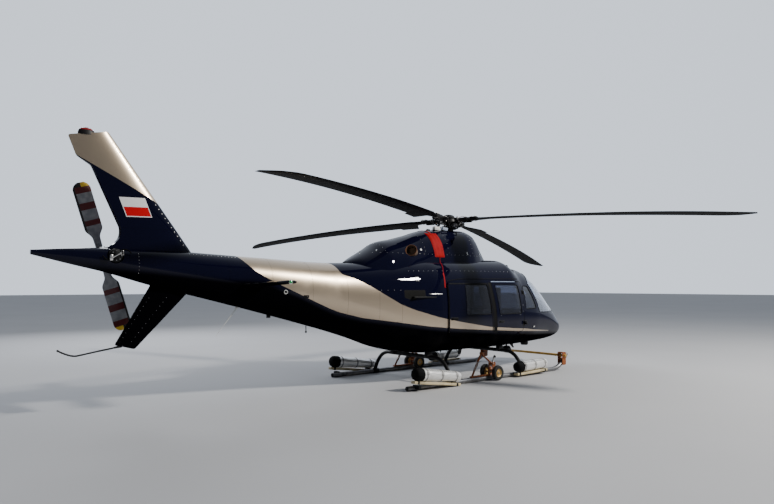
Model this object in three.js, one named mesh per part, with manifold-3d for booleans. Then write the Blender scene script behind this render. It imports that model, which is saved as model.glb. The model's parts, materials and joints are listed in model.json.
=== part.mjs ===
// A single-engine utility helicopter on skids, parked with its rotors still and one rear door a little open.
// Millimetres, +Z up. Inside the airframe group x runs forward from the mast, y to port and z up from the ground.
import * as THREE from "three";
import { LoftGeometry } from "three/addons/geometries/LoftGeometry.js";
import { mergeVertices } from "three/addons/utils/BufferGeometryUtils.js";
import Module from "manifold-3d";

const wasm = await Module();
wasm.setup();

// Driving dimensions

const MAST_AHEAD = 1140; // the airframe's zero stands this far ahead of the middle of the whole helicopter
const FIT_GAP = 0.3; // between pieces that touch
const FAR = 9000; // beyond every end of the helicopter
const WIDE = [-FAR, FAR];
const SIDES = [
  { name: "left", y: 1 },
  { name: "right", y: -1 },
];

const CABIN_REAR = -950; // rear bulkhead
const CABIN_WALL = 50;
const ROOF_DEPTH = 160;
const FLOOR_HEIGHT = 800;
const NOSE_SPLIT = 3150;
const BOOM_START = -2950;
const CONE_START = -5400;
const GLASS_DEPTH = 6; // glass lies this far inside the skin
const GLASS_THICKNESS = 8;

const DOOR_GAP = 13; // round a hinged front door
const DOOR_THICKNESS = 50;
const SLIDING_DOOR_LIFT = 6; // clear of the skin it slides over
const SLIDING_DOOR_THICKNESS = 30;
const SLIDING_DOOR_OVERLAP = 22;
const REST_SLIDE = { left: 0, right: -120 }; // the starboard rear door stands a little open
const DOOR_RAIL = { rear: -1640, bottom: 1540, height: 25, outside: 812 };

const ROTOR_RADIUS = 5415;
const ROTOR_AHEAD = 40; // of the airframe's zero
const ROTOR_HEIGHT = 3070;
const DISC_SLOPE_FORWARD = 0.0813;
const DISC_SLOPE_PORT = 0.0467;
const FIRST_BLADE_AZIMUTH = 19.4; // degrees from the nose, turning to port
const BLADE_DROOP = 283;
const BLADE_COUNT = 4;
const GRIP_RADIUS = 620;

const TAIL_ROTOR = { x: -6490, y: 450, z: 2165, radius: 1085, lean: 17.5 };
const GEARBOX_HOLE = 105; // through the tail cone

const SKID_Y = 1075;
const SKID_RADIUS = 42;
const BELLY_HEIGHT = 500;
const CROSS_TUBES = { rear: -1000, front: 1000 };
const CROSS_TUBE_RADIUS = 36;

// Body sections: station, top, bottom, half width, height of the greatest width, fullness
const HULL_SECTIONS = [
  [-7490, 2220, 2158, 28, 2190, 2.0],
  [-7000, 2257, 2038, 92, 2150, 2.0],
  [-6600, 2273, 1945, 150, 2108, 2.0],
  [-5990, 2275, 1770, 215, 2020, 2.1],
  [-5400, 2252, 1625, 268, 1935, 2.1],
  [-4250, 2200, 1335, 368, 1765, 2.2],
  [-2950, 2150, 985, 520, 1560, 2.4],
  [-2400, 2170, 820, 615, 1450, 2.6],
  [-1800, 2220, 625, 725, 1300, 2.8],
  [-1300, 2265, 530, 800, 1180, 3.0],
  [-950, 2290, 500, 835, 1120, 3.0],
  [1100, 2290, 500, 835, 1120, 3.0],
  [1500, 2168, 500, 805, 1110, 2.5],
  [1850, 2110, 500, 765, 1100, 2.3],
  [2150, 2000, 504, 700, 1080, 2.1],
  [2450, 1815, 512, 628, 1040, 1.9],
  [2720, 1588, 524, 556, 980, 1.8],
  [2960, 1358, 542, 480, 910, 1.8],
  [3180, 1150, 573, 388, 840, 1.85],
  [3370, 1000, 630, 246, 790, 1.9],
  [3470, 915, 690, 110, 785, 1.95],
  [3505, 850, 745, 35, 790, 2.0],
];
const HULL_POINTS = 28;

// Cowl sections: station, top, half width, fullness; every section reaches down into the roof
const COWL_SECTIONS = [
  [-2560, 2185, 180, 2.1],
  [-2350, 2285, 420, 2.1],
  [-2070, 2430, 510, 2.1],
  [-1850, 2555, 545, 2.1],
  [-1518, 2622, 550, 2.2],
  [-1187, 2700, 530, 2.3],
  [-650, 2830, 500, 2.4],
  [260, 2865, 475, 2.4],
  [500, 2815, 420, 2.3],
  [690, 2615, 350, 2.2],
  [925, 2340, 265, 2.1],
  [1060, 2240, 200, 2.1],
];
const COWL_BASE = 1950;
const COWL_SKIN = 25;
const COWL_SPLIT = -300;
const COWL_POINTS = 20;

// Airfoil: share of the chord behind the leading edge, share of the half thickness
const FOIL = [
  [0, 0.12],
  [0.08, 0.75],
  [0.3, 1],
  [0.65, 0.7],
  [1, 0.1],
];

// Main blade: radius, leading edge, trailing edge, thickness, pitch in degrees
const BLADE_SECTIONS = [
  [GRIP_RADIUS + FIT_GAP, 45, -95, 62, 10],
  [760, 60, -130, 54, 10],
  [860, 96, -345, 46, 9],
  [1230, 96, -345, 44, 8],
  [1270, 96, -280, 44, 8],
  [2700, 96, -280, 42, 5],
  [4000, 94, -280, 40, 2],
  [4850, 94, -280, 34, 1],
  [5150, 16, -280, 28, 1],
  [ROTOR_RADIUS, -180, -285, 14, 1],
];

// Tail blade: radius, leading edge, trailing edge, thickness
const TAIL_BLADE_SECTIONS = [
  [150, 48, -48, 36],
  [285, 52, -54, 30],
  [425, 120, -124, 24],
  [985, 120, -124, 18],
  [1050, 92, -100, 14],
  [TAIL_ROTOR.radius, 38, -52, 10],
];

// Stabiliser: distance from the middle, leading edge, trailing edge, thickness
const STABILISER = { x: -4500, z: 1768, dihedral: 2 };
const STABILISER_SECTIONS = [
  [250, 185, -195, 78],
  [1250, 172, -190, 52],
  [1310, 145, -184, 32],
];

// Outlines seen from starboard, as x and z, counterclockwise
const FRONT_DOOR = [[548, 840], [1385, 840], [1385, 1800], [1370, 1830], [412, 1830], [448, 1600], [515, 1280]];
const FRONT_WINDOW = [[618, 1200], [1305, 1200], [1215, 1765], [520, 1765], [545, 1600], [585, 1400]];
const REAR_DOOR = [[-700, 840], [518, 840], [488, 1250], [422, 1600], [388, 1820], [-700, 1820]];
const REAR_WINDOW = [[-250, 1215], [452, 1215], [392, 1600], [362, 1770], [-250, 1770]];
const REAR_OPENING_FRONT_TRIM = 55; // the pillar between the two door openings
const QUARTER_WINDOW = [[1470, 1290], [1870, 1290], [1655, 1745], [1455, 1745]];
const WINDSHIELD = [[2030, 1200], [3100, 1195], [3650, 1700], [2500, 2500], [1975, 2500], [1940, 2030], [1730, 1800]];
const WINDSHIELD_POST = 28; // half width
const WINDOW_CORNER = 60;

const INTAKE = [[-820, 2290], [-560, 2290], [-560, 2560], [-580, 2760], [-840, 2760]];
const INTAKE_COVER_THICKNESS = 16;
const EXHAUST = {
  x: -1370,
  y: 440,
  z: 2385,
  out: [-0.756, 0.605, 0.252],
  radius: 100,
  wall: 8,
  inside: 140,
  lip: 500,
};

const FIN_UPPER = [
  [-5380, 2150], [-5380, 2255], [-6580, 3860], [-7090, 3760], [-6980, 3490],
  [-6790, 3380], [-6400, 2560], [-6410, 2420], [-6560, 2290], [-6560, 2150],
];
const FIN_LOWER = [[-5970, 1800], [-5970, 1760], [-6440, 950], [-6170, 880], [-5440, 1640], [-5440, 1800]];

// Fin levels: height, leading edge, trailing edge, thickness
const FIN_UPPER_LEVELS = [
  [2100, -5260, -6700, 175],
  [2560, -5600, -6760, 150],
  [3380, -6215, -6960, 110],
  [3900, -6605, -7150, 80],
];
const FIN_LOWER_LEVELS = [
  [860, -6180, -6500, 60],
  [1640, -5430, -6050, 110],
  [1820, -5260, -5990, 120],
];

// Colour, roughness and metalness of each look
const LOOKS = {
  navy: [0x10132a, 0.25, 0.3],
  black: [0x0b0b0d, 0.5, 0.2],
  glass: [0x39414f, 0.08, 0.0],
  steel: [0x9a9a98, 0.35, 0.9],
  rubber: [0x161616, 0.9, 0.0],
  red: [0xd8232b, 0.8, 0.0],
  bag: [0xc9c6be, 0.7, 0.0],
  yellow: [0xc9a53a, 0.6, 0.1],
  orange: [0xb4662a, 0.6, 0.2],
  leather: [0x8d8478, 0.7, 0.0],
  panel: [0x1b1c20, 0.6, 0.1],
  engine: [0x6d6a66, 0.5, 0.7],
  bladeGrey: [0x8f9298, 0.4, 0.2],
};

// Helpers

/** A closed geometry as a solid that can be cut and joined. */
function solidOf(geometry) {
  const bare = geometry.index ? geometry.toNonIndexed() : geometry.clone();
  for (const name of ["normal", "uv"]) bare.deleteAttribute(name);
  const merged = mergeVertices(bare, 1e-3);
  const solid = new wasm.Manifold(
    new wasm.Mesh({
      numProp: 3,
      vertProperties: merged.attributes.position.array,
      triVerts: new Uint32Array(merged.index.array),
    }),
  );
  if (solid.volume() <= 0) throw new Error("a solid is inside out");
  return solid;
}

/** A solid as a geometry. */
function geometryOf(solid) {
  const mesh = solid.getMesh();
  return new THREE.BufferGeometry()
    .setAttribute("position", new THREE.BufferAttribute(mesh.vertProperties, 3))
    .setIndex(new THREE.BufferAttribute(mesh.triVerts, 1));
}

const joined = (...solids) => solids.reduce((whole, next) => whole.add(next));

/** A box between two corners, given as low and high x, y and z. */
function block([x0, x1], [y0, y1], [z0, z1]) {
  const box = new THREE.BoxGeometry(x1 - x0, y1 - y0, z1 - z0);
  return solidOf(box.translate((x0 + x1) / 2, (y0 + y1) / 2, (z0 + z1) / 2));
}

/** A range on one side, from an inner to an outer distance from the middle. */
const sideRange = (side, inner, outer) => (side.y > 0 ? [inner, outer] : [-outer, -inner]);

/** A round bar between two points. */
function rod(from, to, radius, sides = 12, endRadius = radius) {
  const start = new THREE.Vector3(...from);
  const along = new THREE.Vector3(...to).sub(start);
  const bar = new THREE.CylinderGeometry(endRadius, radius, along.length(), sides);
  bar.translate(0, along.length() / 2, 0);
  const turn = new THREE.Quaternion().setFromUnitVectors(new THREE.Vector3(0, 1, 0), along.normalize());
  return solidOf(bar.applyQuaternion(turn).translate(...from));
}

/** A round bar along a curve. */
function pipe(route, radius, sides, steps) {
  const circle = Array.from({ length: sides }, (_, i) => {
    const turn = (i * 2 * Math.PI) / sides;
    return new THREE.Vector2(radius * Math.cos(turn), radius * Math.sin(turn));
  });
  const shape = new THREE.Shape(circle);
  return solidOf(new THREE.ExtrudeGeometry(shape, { steps, bevelEnabled: false, extrudePath: route }));
}

/** A solid of revolution about a line along y, from a profile of radius and y. */
function turned(profile, sides) {
  return solidOf(new THREE.LatheGeometry(profile.map((point) => new THREE.Vector2(...point)), sides));
}

/** Outline points moved outwards by a distance. */
function offset(points, distance) {
  const edges = points.map((point, i) => {
    const start = new THREE.Vector2(...point);
    const along = new THREE.Vector2(...points[(i + 1) % points.length]).sub(start).normalize();
    start.add(new THREE.Vector2(along.y, -along.x).multiplyScalar(distance));
    return { start, along };
  });
  return edges.map((edge, i) => {
    const before = edges[(i + edges.length - 1) % edges.length];
    const between = edge.start.clone().sub(before.start);
    const reach = between.cross(edge.along) / before.along.cross(edge.along);
    return before.start.clone().addScaledVector(before.along, reach).toArray();
  });
}

/** An outline in x and z with its corners rounded, as a slab from one y to another. */
function slab(points, [y0, y1], corner = 0) {
  const shape = new THREE.Shape();
  const at = (i) => new THREE.Vector2(...points[(i + points.length) % points.length]);
  for (let i = 0; i < points.length; i++) {
    const here = at(i);
    const [to, from] = [at(i + 1), at(i - 1)].map((other) => {
      const reach = Math.min(corner, here.distanceTo(other) / 2.2);
      return here.clone().addScaledVector(other.clone().sub(here).normalize(), reach);
    });
    if (i === 0) shape.moveTo(from.x, from.y);
    else shape.lineTo(from.x, from.y);
    if (corner > 0) shape.quadraticCurveTo(here.x, here.y, to.x, to.y);
  }
  const body = new THREE.ExtrudeGeometry(shape, { depth: y1 - y0, bevelEnabled: false, curveSegments: 2 });
  return solidOf(body.rotateX(Math.PI / 2).translate(0, y1, 0));
}

/** One side's slab, reaching well outside the body and in to a distance from the middle. */
const sideSlab = (points, side, corner = 0, inner = 300) => slab(points, sideRange(side, inner, 1500), corner);

/** A loft through sections along its length. */
const loft = (sections) => solidOf(new LoftGeometry(sections, { capStart: true, capEnd: true }));

/** Points of a full, rounded section, counterclockwise seen from ahead. */
function ring(count, x, centre, reach) {
  return Array.from({ length: count }, (_, i) => {
    const turn = ((i + 0.5) * 2 * Math.PI) / count;
    const [c, s] = [Math.cos(turn), Math.sin(turn)];
    const bow = (value) => Math.sign(value) * Math.abs(value) ** (2 / reach.fullness);
    const rise = s > 0 ? reach.up : reach.down;
    return new THREE.Vector3(x, reach.side * bow(c), centre + rise * bow(s));
  });
}

/** The body, its skin moved out by some distance: the roof may differ, and an inner one stays near the cabin. */
function hullLoft(out, roof = out) {
  const stations = HULL_SECTIONS.filter(([x]) => out >= 0 || (x > BOOM_START && x < NOSE_SPLIT + 200));
  return loft(
    stations.map(([x, top, bottom, half, widest, fullness]) =>
      ring(HULL_POINTS, x, widest, {
        up: top + roof - widest,
        down: widest - bottom + out,
        side: half + out,
        fullness,
      }),
    ),
  );
}

/** The cowl over engine and gearbox, its skin moved out by some distance. */
function cowlLoft(out) {
  return loft(
    COWL_SECTIONS.map(([x, top, half, fullness]) =>
      ring(COWL_POINTS, x, COWL_BASE, {
        up: top + out - COWL_BASE,
        down: 100,
        side: half + out,
        fullness,
      }),
    ),
  );
}

/** Airfoil points from the leading to the trailing edge, as leading distance and height. */
function foil(lead, trail, thickness) {
  const point = ([back, share], up) => [lead - back * (lead - trail), (up * share * thickness) / 2];
  return [...[...FOIL].reverse().map((row) => point(row, -1)), ...FOIL.map((row) => point(row, 1))];
}

/** A blade or wing along x through rows of distance, leading edge, trailing edge and thickness. */
const foilLoft = (rows) =>
  loft(
    rows.map(([along, lead, trail, thickness]) =>
      foil(lead, trail, thickness).map(([ahead, up]) => new THREE.Vector3(along, ahead, up)),
    ),
  );

const model = new THREE.Group();
const airframe = new THREE.Group();
airframe.position.x = MAST_AHEAD;
model.add(airframe);

/** Adds a named piece to a group. */
function piece(name, solid, look, parent = airframe) {
  const [color, roughness, metalness] = LOOKS[look];
  const material = new THREE.MeshStandardMaterial({ color, roughness, metalness });
  const mesh = new THREE.Mesh(geometryOf(solid), material);
  mesh.name = name;
  parent.add(mesh);
  return mesh;
}

// Fuselage, cut from one body

const hull = hullLoft(0);
const hullClear = hullLoft(FIT_GAP);
const cabinAir = hullLoft(-CABIN_WALL, -ROOF_DEPTH).intersect(
  block([CABIN_REAR + CABIN_WALL, NOSE_SPLIT - CABIN_WALL], WIDE, [FLOOR_HEIGHT - 100, FAR]),
);
const glassShell = hullLoft(-GLASS_DEPTH).subtract(hullLoft(-GLASS_DEPTH - GLASS_THICKNESS));
const hullPart = (from, to, heights = WIDE) => hull.intersect(block([from + FIT_GAP, to], WIDE, heights));

piece("underfloor_hull", hullPart(CABIN_REAR, NOSE_SPLIT, [0, FLOOR_HEIGHT]), "navy");
piece("nose_cap", hullPart(NOSE_SPLIT, FAR), "navy");

let cabin = hullPart(CABIN_REAR, NOSE_SPLIT, [FLOOR_HEIGHT + FIT_GAP, FAR]).subtract(cabinAir);
const rearOpening = offset(REAR_DOOR, -SLIDING_DOOR_OVERLAP).map(([x, z]) => [
  x > 0 ? x - REAR_OPENING_FRONT_TRIM : x,
  z,
]);
const windshieldHalf = (side, points, post) => slab(points, sideRange(side, post, 1500), WINDOW_CORNER);
for (const side of SIDES) {
  cabin = cabin
    .subtract(sideSlab(offset(FRONT_DOOR, DOOR_GAP), side, WINDOW_CORNER))
    .subtract(sideSlab(rearOpening, side, WINDOW_CORNER))
    .subtract(sideSlab(QUARTER_WINDOW, side, 30))
    .subtract(windshieldHalf(side, WINDSHIELD, WINDSHIELD_POST));
}
piece("cabin_frame", cabin, "navy");

const rail = (side) =>
  block([DOOR_RAIL.rear, CABIN_REAR], sideRange(side, 600, DOOR_RAIL.outside), [
    DOOR_RAIL.bottom,
    DOOR_RAIL.bottom + DOOR_RAIL.height,
  ]);
piece("aft_fuselage", joined(hullPart(BOOM_START, CABIN_REAR), ...SIDES.map(rail)), "navy");
piece("tail_boom", hullPart(CONE_START, BOOM_START), "navy");

/** A bar on the tail rotor's axis. */
const tailShaft = (from, to, radius) =>
  rod([TAIL_ROTOR.x, from, TAIL_ROTOR.z], [TAIL_ROTOR.x, to, TAIL_ROTOR.z], radius, 16);
piece("tail_cone", hullPart(-FAR, CONE_START).subtract(tailShaft(-400, 400, GEARBOX_HOLE)), "navy");

// Doors and glass

const frontDoorShell = hull.subtract(hullLoft(-DOOR_THICKNESS));
const slidingTop = SLIDING_DOOR_LIFT + SLIDING_DOOR_THICKNESS;
const slidingShell = hullLoft(slidingTop).subtract(hullLoft(SLIDING_DOOR_LIFT));
const slidingGlass = hullLoft(slidingTop - GLASS_DEPTH).subtract(
  hullLoft(slidingTop - GLASS_DEPTH - GLASS_THICKNESS),
);

/** Adds a pane that fills a window of the given outline. */
function pane(name, shell, window, side, corner, parent) {
  piece(name, shell.intersect(sideSlab(offset(window, -FIT_GAP), side, corner)), "glass", parent);
}
for (const side of SIDES) {
  const frontDoor = frontDoorShell
    .intersect(sideSlab(FRONT_DOOR, side, 55))
    .subtract(sideSlab(FRONT_WINDOW, side, 50));
  piece(`door_front_${side.name}`, frontDoor, "navy");
  pane(`door_front_glass_${side.name}`, glassShell, FRONT_WINDOW, side, 50);

  const slid = new THREE.Group();
  slid.position.x = REST_SLIDE[side.name];
  airframe.add(slid);
  const rearDoor = slidingShell.intersect(sideSlab(REAR_DOOR, side, 55)).subtract(sideSlab(REAR_WINDOW, side, 50));
  piece(`door_rear_${side.name}`, rearDoor, "navy", slid);
  pane(`door_rear_glass_${side.name}`, slidingGlass, REAR_WINDOW, side, 50, slid);

  pane(`quarter_window_${side.name}`, glassShell, QUARTER_WINDOW, side, 30);
  const windshield = windshieldHalf(side, offset(WINDSHIELD, -FIT_GAP), WINDSHIELD_POST + FIT_GAP);
  piece(`windshield_${side.name}`, glassShell.intersect(windshield), "glass");
}

// Cowls, engine, exhausts and intake covers

const cowlShell = cowlLoft(0).subtract(cowlLoft(-COWL_SKIN)).subtract(hullClear);
const intakeCoverShell = cowlLoft(INTAKE_COVER_THICKNESS).subtract(cowlLoft(FIT_GAP)).subtract(hullClear);
const discUp = new THREE.Vector3(DISC_SLOPE_FORWARD, DISC_SLOPE_PORT, 1).normalize();
const hubCentre = new THREE.Vector3(ROTOR_AHEAD, 0, ROTOR_HEIGHT);
const onMast = (height) => hubCentre.clone().addScaledVector(discUp, height).toArray();
const mastHole = rod(onMast(-900), onMast(0), 130, 20);

/** A bar along one exhaust's axis, from and to distances outside the cowl. */
function exhaustBar(side, from, to, radius) {
  const at = (d) => [
    EXHAUST.x + EXHAUST.out[0] * d,
    side.y * (EXHAUST.y + EXHAUST.out[1] * d),
    EXHAUST.z + EXHAUST.out[2] * d,
  ];
  return rod(at(from), at(to), radius, 20);
}

let engineCowl = cowlShell.intersect(block([-FAR, COWL_SPLIT], WIDE, WIDE));
for (const side of SIDES) {
  engineCowl = engineCowl
    .subtract(exhaustBar(side, -EXHAUST.inside - 10, 400, EXHAUST.radius + 8))
    .subtract(sideSlab(offset(INTAKE, -25), side, 40, 200));
  const inside = block(WIDE, [-EXHAUST.lip, EXHAUST.lip], WIDE);
  const exhaust = exhaustBar(side, -EXHAUST.inside, 400, EXHAUST.radius)
    .subtract(exhaustBar(side, -EXHAUST.inside - 40, 440, EXHAUST.radius - EXHAUST.wall))
    .intersect(inside)
    .subtract(hullClear);
  piece(`exhaust_${side.name}`, exhaust, "steel");
  piece(`intake_cover_${side.name}`, intakeCoverShell.intersect(sideSlab(INTAKE, side, 40, 200)), "red");
}
piece("engine_cowl", engineCowl, "navy");
const mastFairing = cowlShell.intersect(block([COWL_SPLIT + FIT_GAP, FAR], WIDE, WIDE)).subtract(mastHole);
piece("mast_fairing", mastFairing, "navy");
const powerplant = joined(
  block([-1740, -500], [-200, 200], [2200, 2500]),
  block([-520, 300], [-260, 260], [2200, 2540]),
);
piece("engine_and_gearbox", powerplant.subtract(hullClear), "engine");

// Fins, tail skid, stabilisers and lamps

/** A swept fin inside an outline: its sections have their own edges at each height. */
function sweptFin(levels, outline) {
  const sections = levels.map(([height, lead, trail, thickness]) =>
    foil(lead, trail, thickness).map(([x, y]) => new THREE.Vector3(x, y, height)),
  );
  return loft(sections).intersect(slab(outline, [-200, 200])).subtract(hullClear);
}
piece("fin_upper", sweptFin(FIN_UPPER_LEVELS, FIN_UPPER).subtract(tailShaft(-400, 400, GEARBOX_HOLE)), "navy");
piece("fin_lower", sweptFin(FIN_LOWER_LEVELS, FIN_LOWER), "navy");

const BEACON = { x: -6860, bottom: 3780, height: 105, radius: 62, top: 30, stretch: [1.85, 0.75, 1] };
const finClear = slab(offset(FIN_UPPER, FIT_GAP), [-200, 200]);
const beaconDome = rod([0, 0, 0], [0, 0, BEACON.height], BEACON.radius, 16, BEACON.top)
  .scale(BEACON.stretch)
  .translate([BEACON.x, 0, BEACON.bottom]);
piece("fin_beacon", beaconDome.subtract(finClear), "red");
const LANDING_LIGHT = { x: 2420, top: 560, bottom: 436, radius: 85 };
const lightBody = rod(
  [LANDING_LIGHT.x, 0, LANDING_LIGHT.bottom],
  [LANDING_LIGHT.x, 0, LANDING_LIGHT.top],
  LANDING_LIGHT.radius,
  16,
);
piece("landing_light", lightBody.subtract(hullClear), "black");

const underFin = slab(
  [[-7400, 600], [-5900, 600], [-5900, 809], [-6170, 879], [-6440, 949], [-7400, 1198]],
  [-300, 300],
);
const SKID_WIRE = [[-6330, 941], [-6600, 890], [-6900, 839], [-6968, 838], [-7030, 862], [-7145, 918]];
const skidWire = new THREE.CatmullRomCurve3(SKID_WIRE.map(([x, z]) => new THREE.Vector3(x, 0, z)));
piece("tail_skid", pipe(skidWire, 13, 8, 30).intersect(underFin), "black");

for (const side of SIDES) {
  const starboard = foilLoft(STABILISER_SECTIONS).rotate([0, 0, -90]).rotate([-STABILISER.dihedral, 0, 0]);
  const half = side.y > 0 ? starboard.mirror([0, 1, 0]) : starboard;
  piece(`stabiliser_${side.name}`, half.translate([STABILISER.x, 0, STABILISER.z]).subtract(hullClear), "navy");
}

// Tail rotor

const tailGearbox = joined(
  tailShaft(-190, 330, GEARBOX_HOLE - 12),
  tailShaft(200, 260, GEARBOX_HOLE + 30),
  tailShaft(-260, -180, 45),
  tailShaft(120, 210, GEARBOX_HOLE + 20).subtract(hullClear),
);
piece("tail_gearbox", tailGearbox, "steel");

const tailRotor = new THREE.Group();
tailRotor.position.set(TAIL_ROTOR.x, TAIL_ROTOR.y, TAIL_ROTOR.z);
airframe.add(tailRotor);
const TAIL_HUB_ROOT = 150;
const bladeTurn = ((90 - TAIL_ROTOR.lean) * Math.PI) / 180;
const tailHub = joined(
  rod([0, -110, 0], [0, 60, 0], 45, 16),
  rod([0, -30, 0], [0, 30, 0], 85, 16),
  block([-TAIL_HUB_ROOT + FIT_GAP, TAIL_HUB_ROOT - FIT_GAP], [-22, 22], [-38, 38]),
  rod([0, 60, 0], [0, 90, 0], 28, 12),
);
piece("tail_hub", tailHub, "steel", tailRotor).rotation.y = bladeTurn;
for (let i = 0; i < 2; i++) {
  const blade = foilLoft(TAIL_BLADE_SECTIONS).rotate([90, 0, 0]);
  piece(`tail_blade_${i + 1}`, blade, "bladeGrey", tailRotor).rotation.y = bladeTurn + i * Math.PI;
}

// Main rotor

const rotor = new THREE.Group();
rotor.position.copy(hubCentre);
rotor.quaternion.setFromUnitVectors(new THREE.Vector3(0, 0, 1), discUp);
airframe.add(rotor);

const HUB_DEPTH = 70;
const MAST_RADIUS = 62;
const MAST_LENGTH = 480;
const SWASHPLATE_DROP = 130;
const bladeAzimuth = (i) => FIRST_BLADE_AZIMUTH + (360 / BLADE_COUNT) * i;
let head = joined(
  rod([0, 0, -MAST_LENGTH], [0, 0, 60], MAST_RADIUS, 16),
  rod([0, 0, -HUB_DEPTH], [0, 0, HUB_DEPTH / 2], 190, 16, 160),
  rod([0, 0, HUB_DEPTH / 2], [0, 0, HUB_DEPTH + 50], 125, 16, 80),
  rod([0, 0, -SWASHPLATE_DROP - 45], [0, 0, -SWASHPLATE_DROP], 165, 16),
);
const rotorArm = joined(
  block([120, 360], [-75, 75], [-55, 30]),
  block([330, GRIP_RADIUS], [-58, 48], [-38, 38]),
  block([390, 480], [-110, -40], [-26, 26]),
  rod([250, -105, -10], [460, -120, -10], 34, 10),
  rod([150, 90, -SWASHPLATE_DROP - 20], [330, 118, -10], 13, 8),
  rod([330, 40, -10], [330, 130, -10], 24, 8),
);
for (let i = 0; i < BLADE_COUNT; i++) head = head.add(rotorArm.rotate([0, 0, bladeAzimuth(i)]));
piece("rotor_head", head, "black", rotor);

const bladeSections = BLADE_SECTIONS.map(([radius, lead, trail, thick, pitch]) => {
  const [c, s] = [Math.cos((pitch * Math.PI) / 180), Math.sin((pitch * Math.PI) / 180)];
  const drop = BLADE_DROOP * (radius / ROTOR_RADIUS) ** 2;
  return foil(lead, trail, thick).map(
    ([ahead, up]) => new THREE.Vector3(radius, ahead * c - up * s, ahead * s + up * c - drop),
  );
});
for (let i = 0; i < BLADE_COUNT; i++) {
  const blade = piece(`main_blade_${i + 1}`, loft(bladeSections), "black", rotor);
  blade.rotation.z = (bladeAzimuth(i) * Math.PI) / 180;
}

// Cabin inside

const ON_FLOOR = FLOOR_HEIGHT + FIT_GAP;
const SEAT_BACK = [[900, 1000], [1030, 1000], [1030, 1130], [960, 1760], [850, 1760]];
const BENCH_BACK = [[-860, 1000], [-700, 1000], [-700, 1150], [-740, 1800], [-860, 1800]];
const SEAT_HALF_WIDTH = 225;
const SEAT_Y = 370;
const panelAndPedestal = joined(
  block([2190, 2370], [-420, 420], [ON_FLOOR, 1230]),
  block([1750, 2210], [-110, 110], [ON_FLOOR, 980]),
);
piece("instrument_panel", panelAndPedestal, "panel");
for (const side of SIDES) {
  const across = [-SEAT_HALF_WIDTH, SEAT_HALF_WIDTH];
  const seat = joined(block([1010, 1440], across, [ON_FLOOR, 1130]), slab(SEAT_BACK, across));
  piece(`seat_front_${side.name}`, seat.translate([0, side.y * SEAT_Y, 0]), "leather");
}
const bench = joined(block([-800, -330], [-660, 660], [ON_FLOOR, 1150]), slab(BENCH_BACK, [-600, 600]));
piece("rear_bench", bench, "leather");

// Skids, cross tubes and float bags

const SKID = { rear: -2060, bend: 1950, knee: 2250, toe: 2440, rise: 330 };
const FLOAT_Y = SKID_Y + 120;
const PLANK = { half: 48, depth: 45, gap: 6 }; // the board that a bag lies on
const FLOATS = [
  { end: "rear", x: -1470, z: 227, length: 1100, aft: 118, fore: 94, pitch: 7, brackets: [-1900, -1130] },
  { end: "front", x: 1095, z: 206, length: 930, aft: 110, fore: 102, pitch: -1.5, brackets: [700, 1480] },
];

/** One skid: a straight tube and its turned-up toe. */
function skidTube(side, radius) {
  const at = (x, z) => new THREE.Vector3(x, side.y * SKID_Y, z);
  const bend = new THREE.QuadraticBezierCurve3(
    at(SKID.bend - 1, SKID_RADIUS),
    at(SKID.knee, SKID_RADIUS),
    at(SKID.toe, SKID.rise),
  );
  const straight = rod(at(SKID.rear, SKID_RADIUS).toArray(), at(SKID.bend, SKID_RADIUS).toArray(), radius);
  return straight.add(pipe(bend, radius, 12, 6));
}

/** Puts a solid made about the middle of a float bag where the bag lies. */
const atBag = (solid, bag, side) => solid.rotate([0, bag.pitch, 0]).translate([bag.x, side.y * FLOAT_Y, bag.z]);

/** A float bag with domed ends, moved out by some distance. */
function floatBag(bag, side, out = 0) {
  const end = bag.length / 2 + out;
  const dome = [[0, 0], [0.62, 4], [0.92, 40], [1, 95]];
  const profile = [
    ...dome.map(([share, inset]) => [share * (bag.aft + out), inset - end]),
    ...[...dome].reverse().map(([share, inset]) => [share * (bag.fore + out), end - inset]),
  ];
  return atBag(turned(profile, 16).rotate([0, 0, -90]), bag, side);
}

const skidsClear = joined(...SIDES.map((side) => skidTube(side, SKID_RADIUS + FIT_GAP)));
const ARCH = { height: BELLY_HEIGHT - CROSS_TUBE_RADIUS - 14, shoulder: 640, knee: 930, foot: 60, saddle: 480 };
for (const [end, x] of Object.entries(CROSS_TUBES)) {
  let tube = rod([x, -ARCH.shoulder, ARCH.height], [x, ARCH.shoulder, ARCH.height], CROSS_TUBE_RADIUS);
  for (const side of SIDES) {
    const at = (y, z) => new THREE.Vector3(x, side.y * y, z);
    const leg = new THREE.QuadraticBezierCurve3(
      at(ARCH.shoulder - 1, ARCH.height),
      at(ARCH.knee, ARCH.height),
      at(SKID_Y, ARCH.foot),
    );
    const y = side.y * SKID_Y;
    tube = joined(
      tube,
      pipe(leg, CROSS_TUBE_RADIUS, 12, 6),
      rod([x - 70, y, SKID_RADIUS], [x + 70, y, SKID_RADIUS], SKID_RADIUS + 12),
      block([x - 60, x + 60], sideRange(side, ARCH.saddle - 45, ARCH.saddle + 45), [ARCH.height - 20, 700]),
    );
  }
  const ground = block([x - 100, x + 100], WIDE, [-200, 0]);
  piece(`cross_tube_${end}`, tube.subtract(hullClear).subtract(skidsClear).subtract(ground), "black");
}

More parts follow.
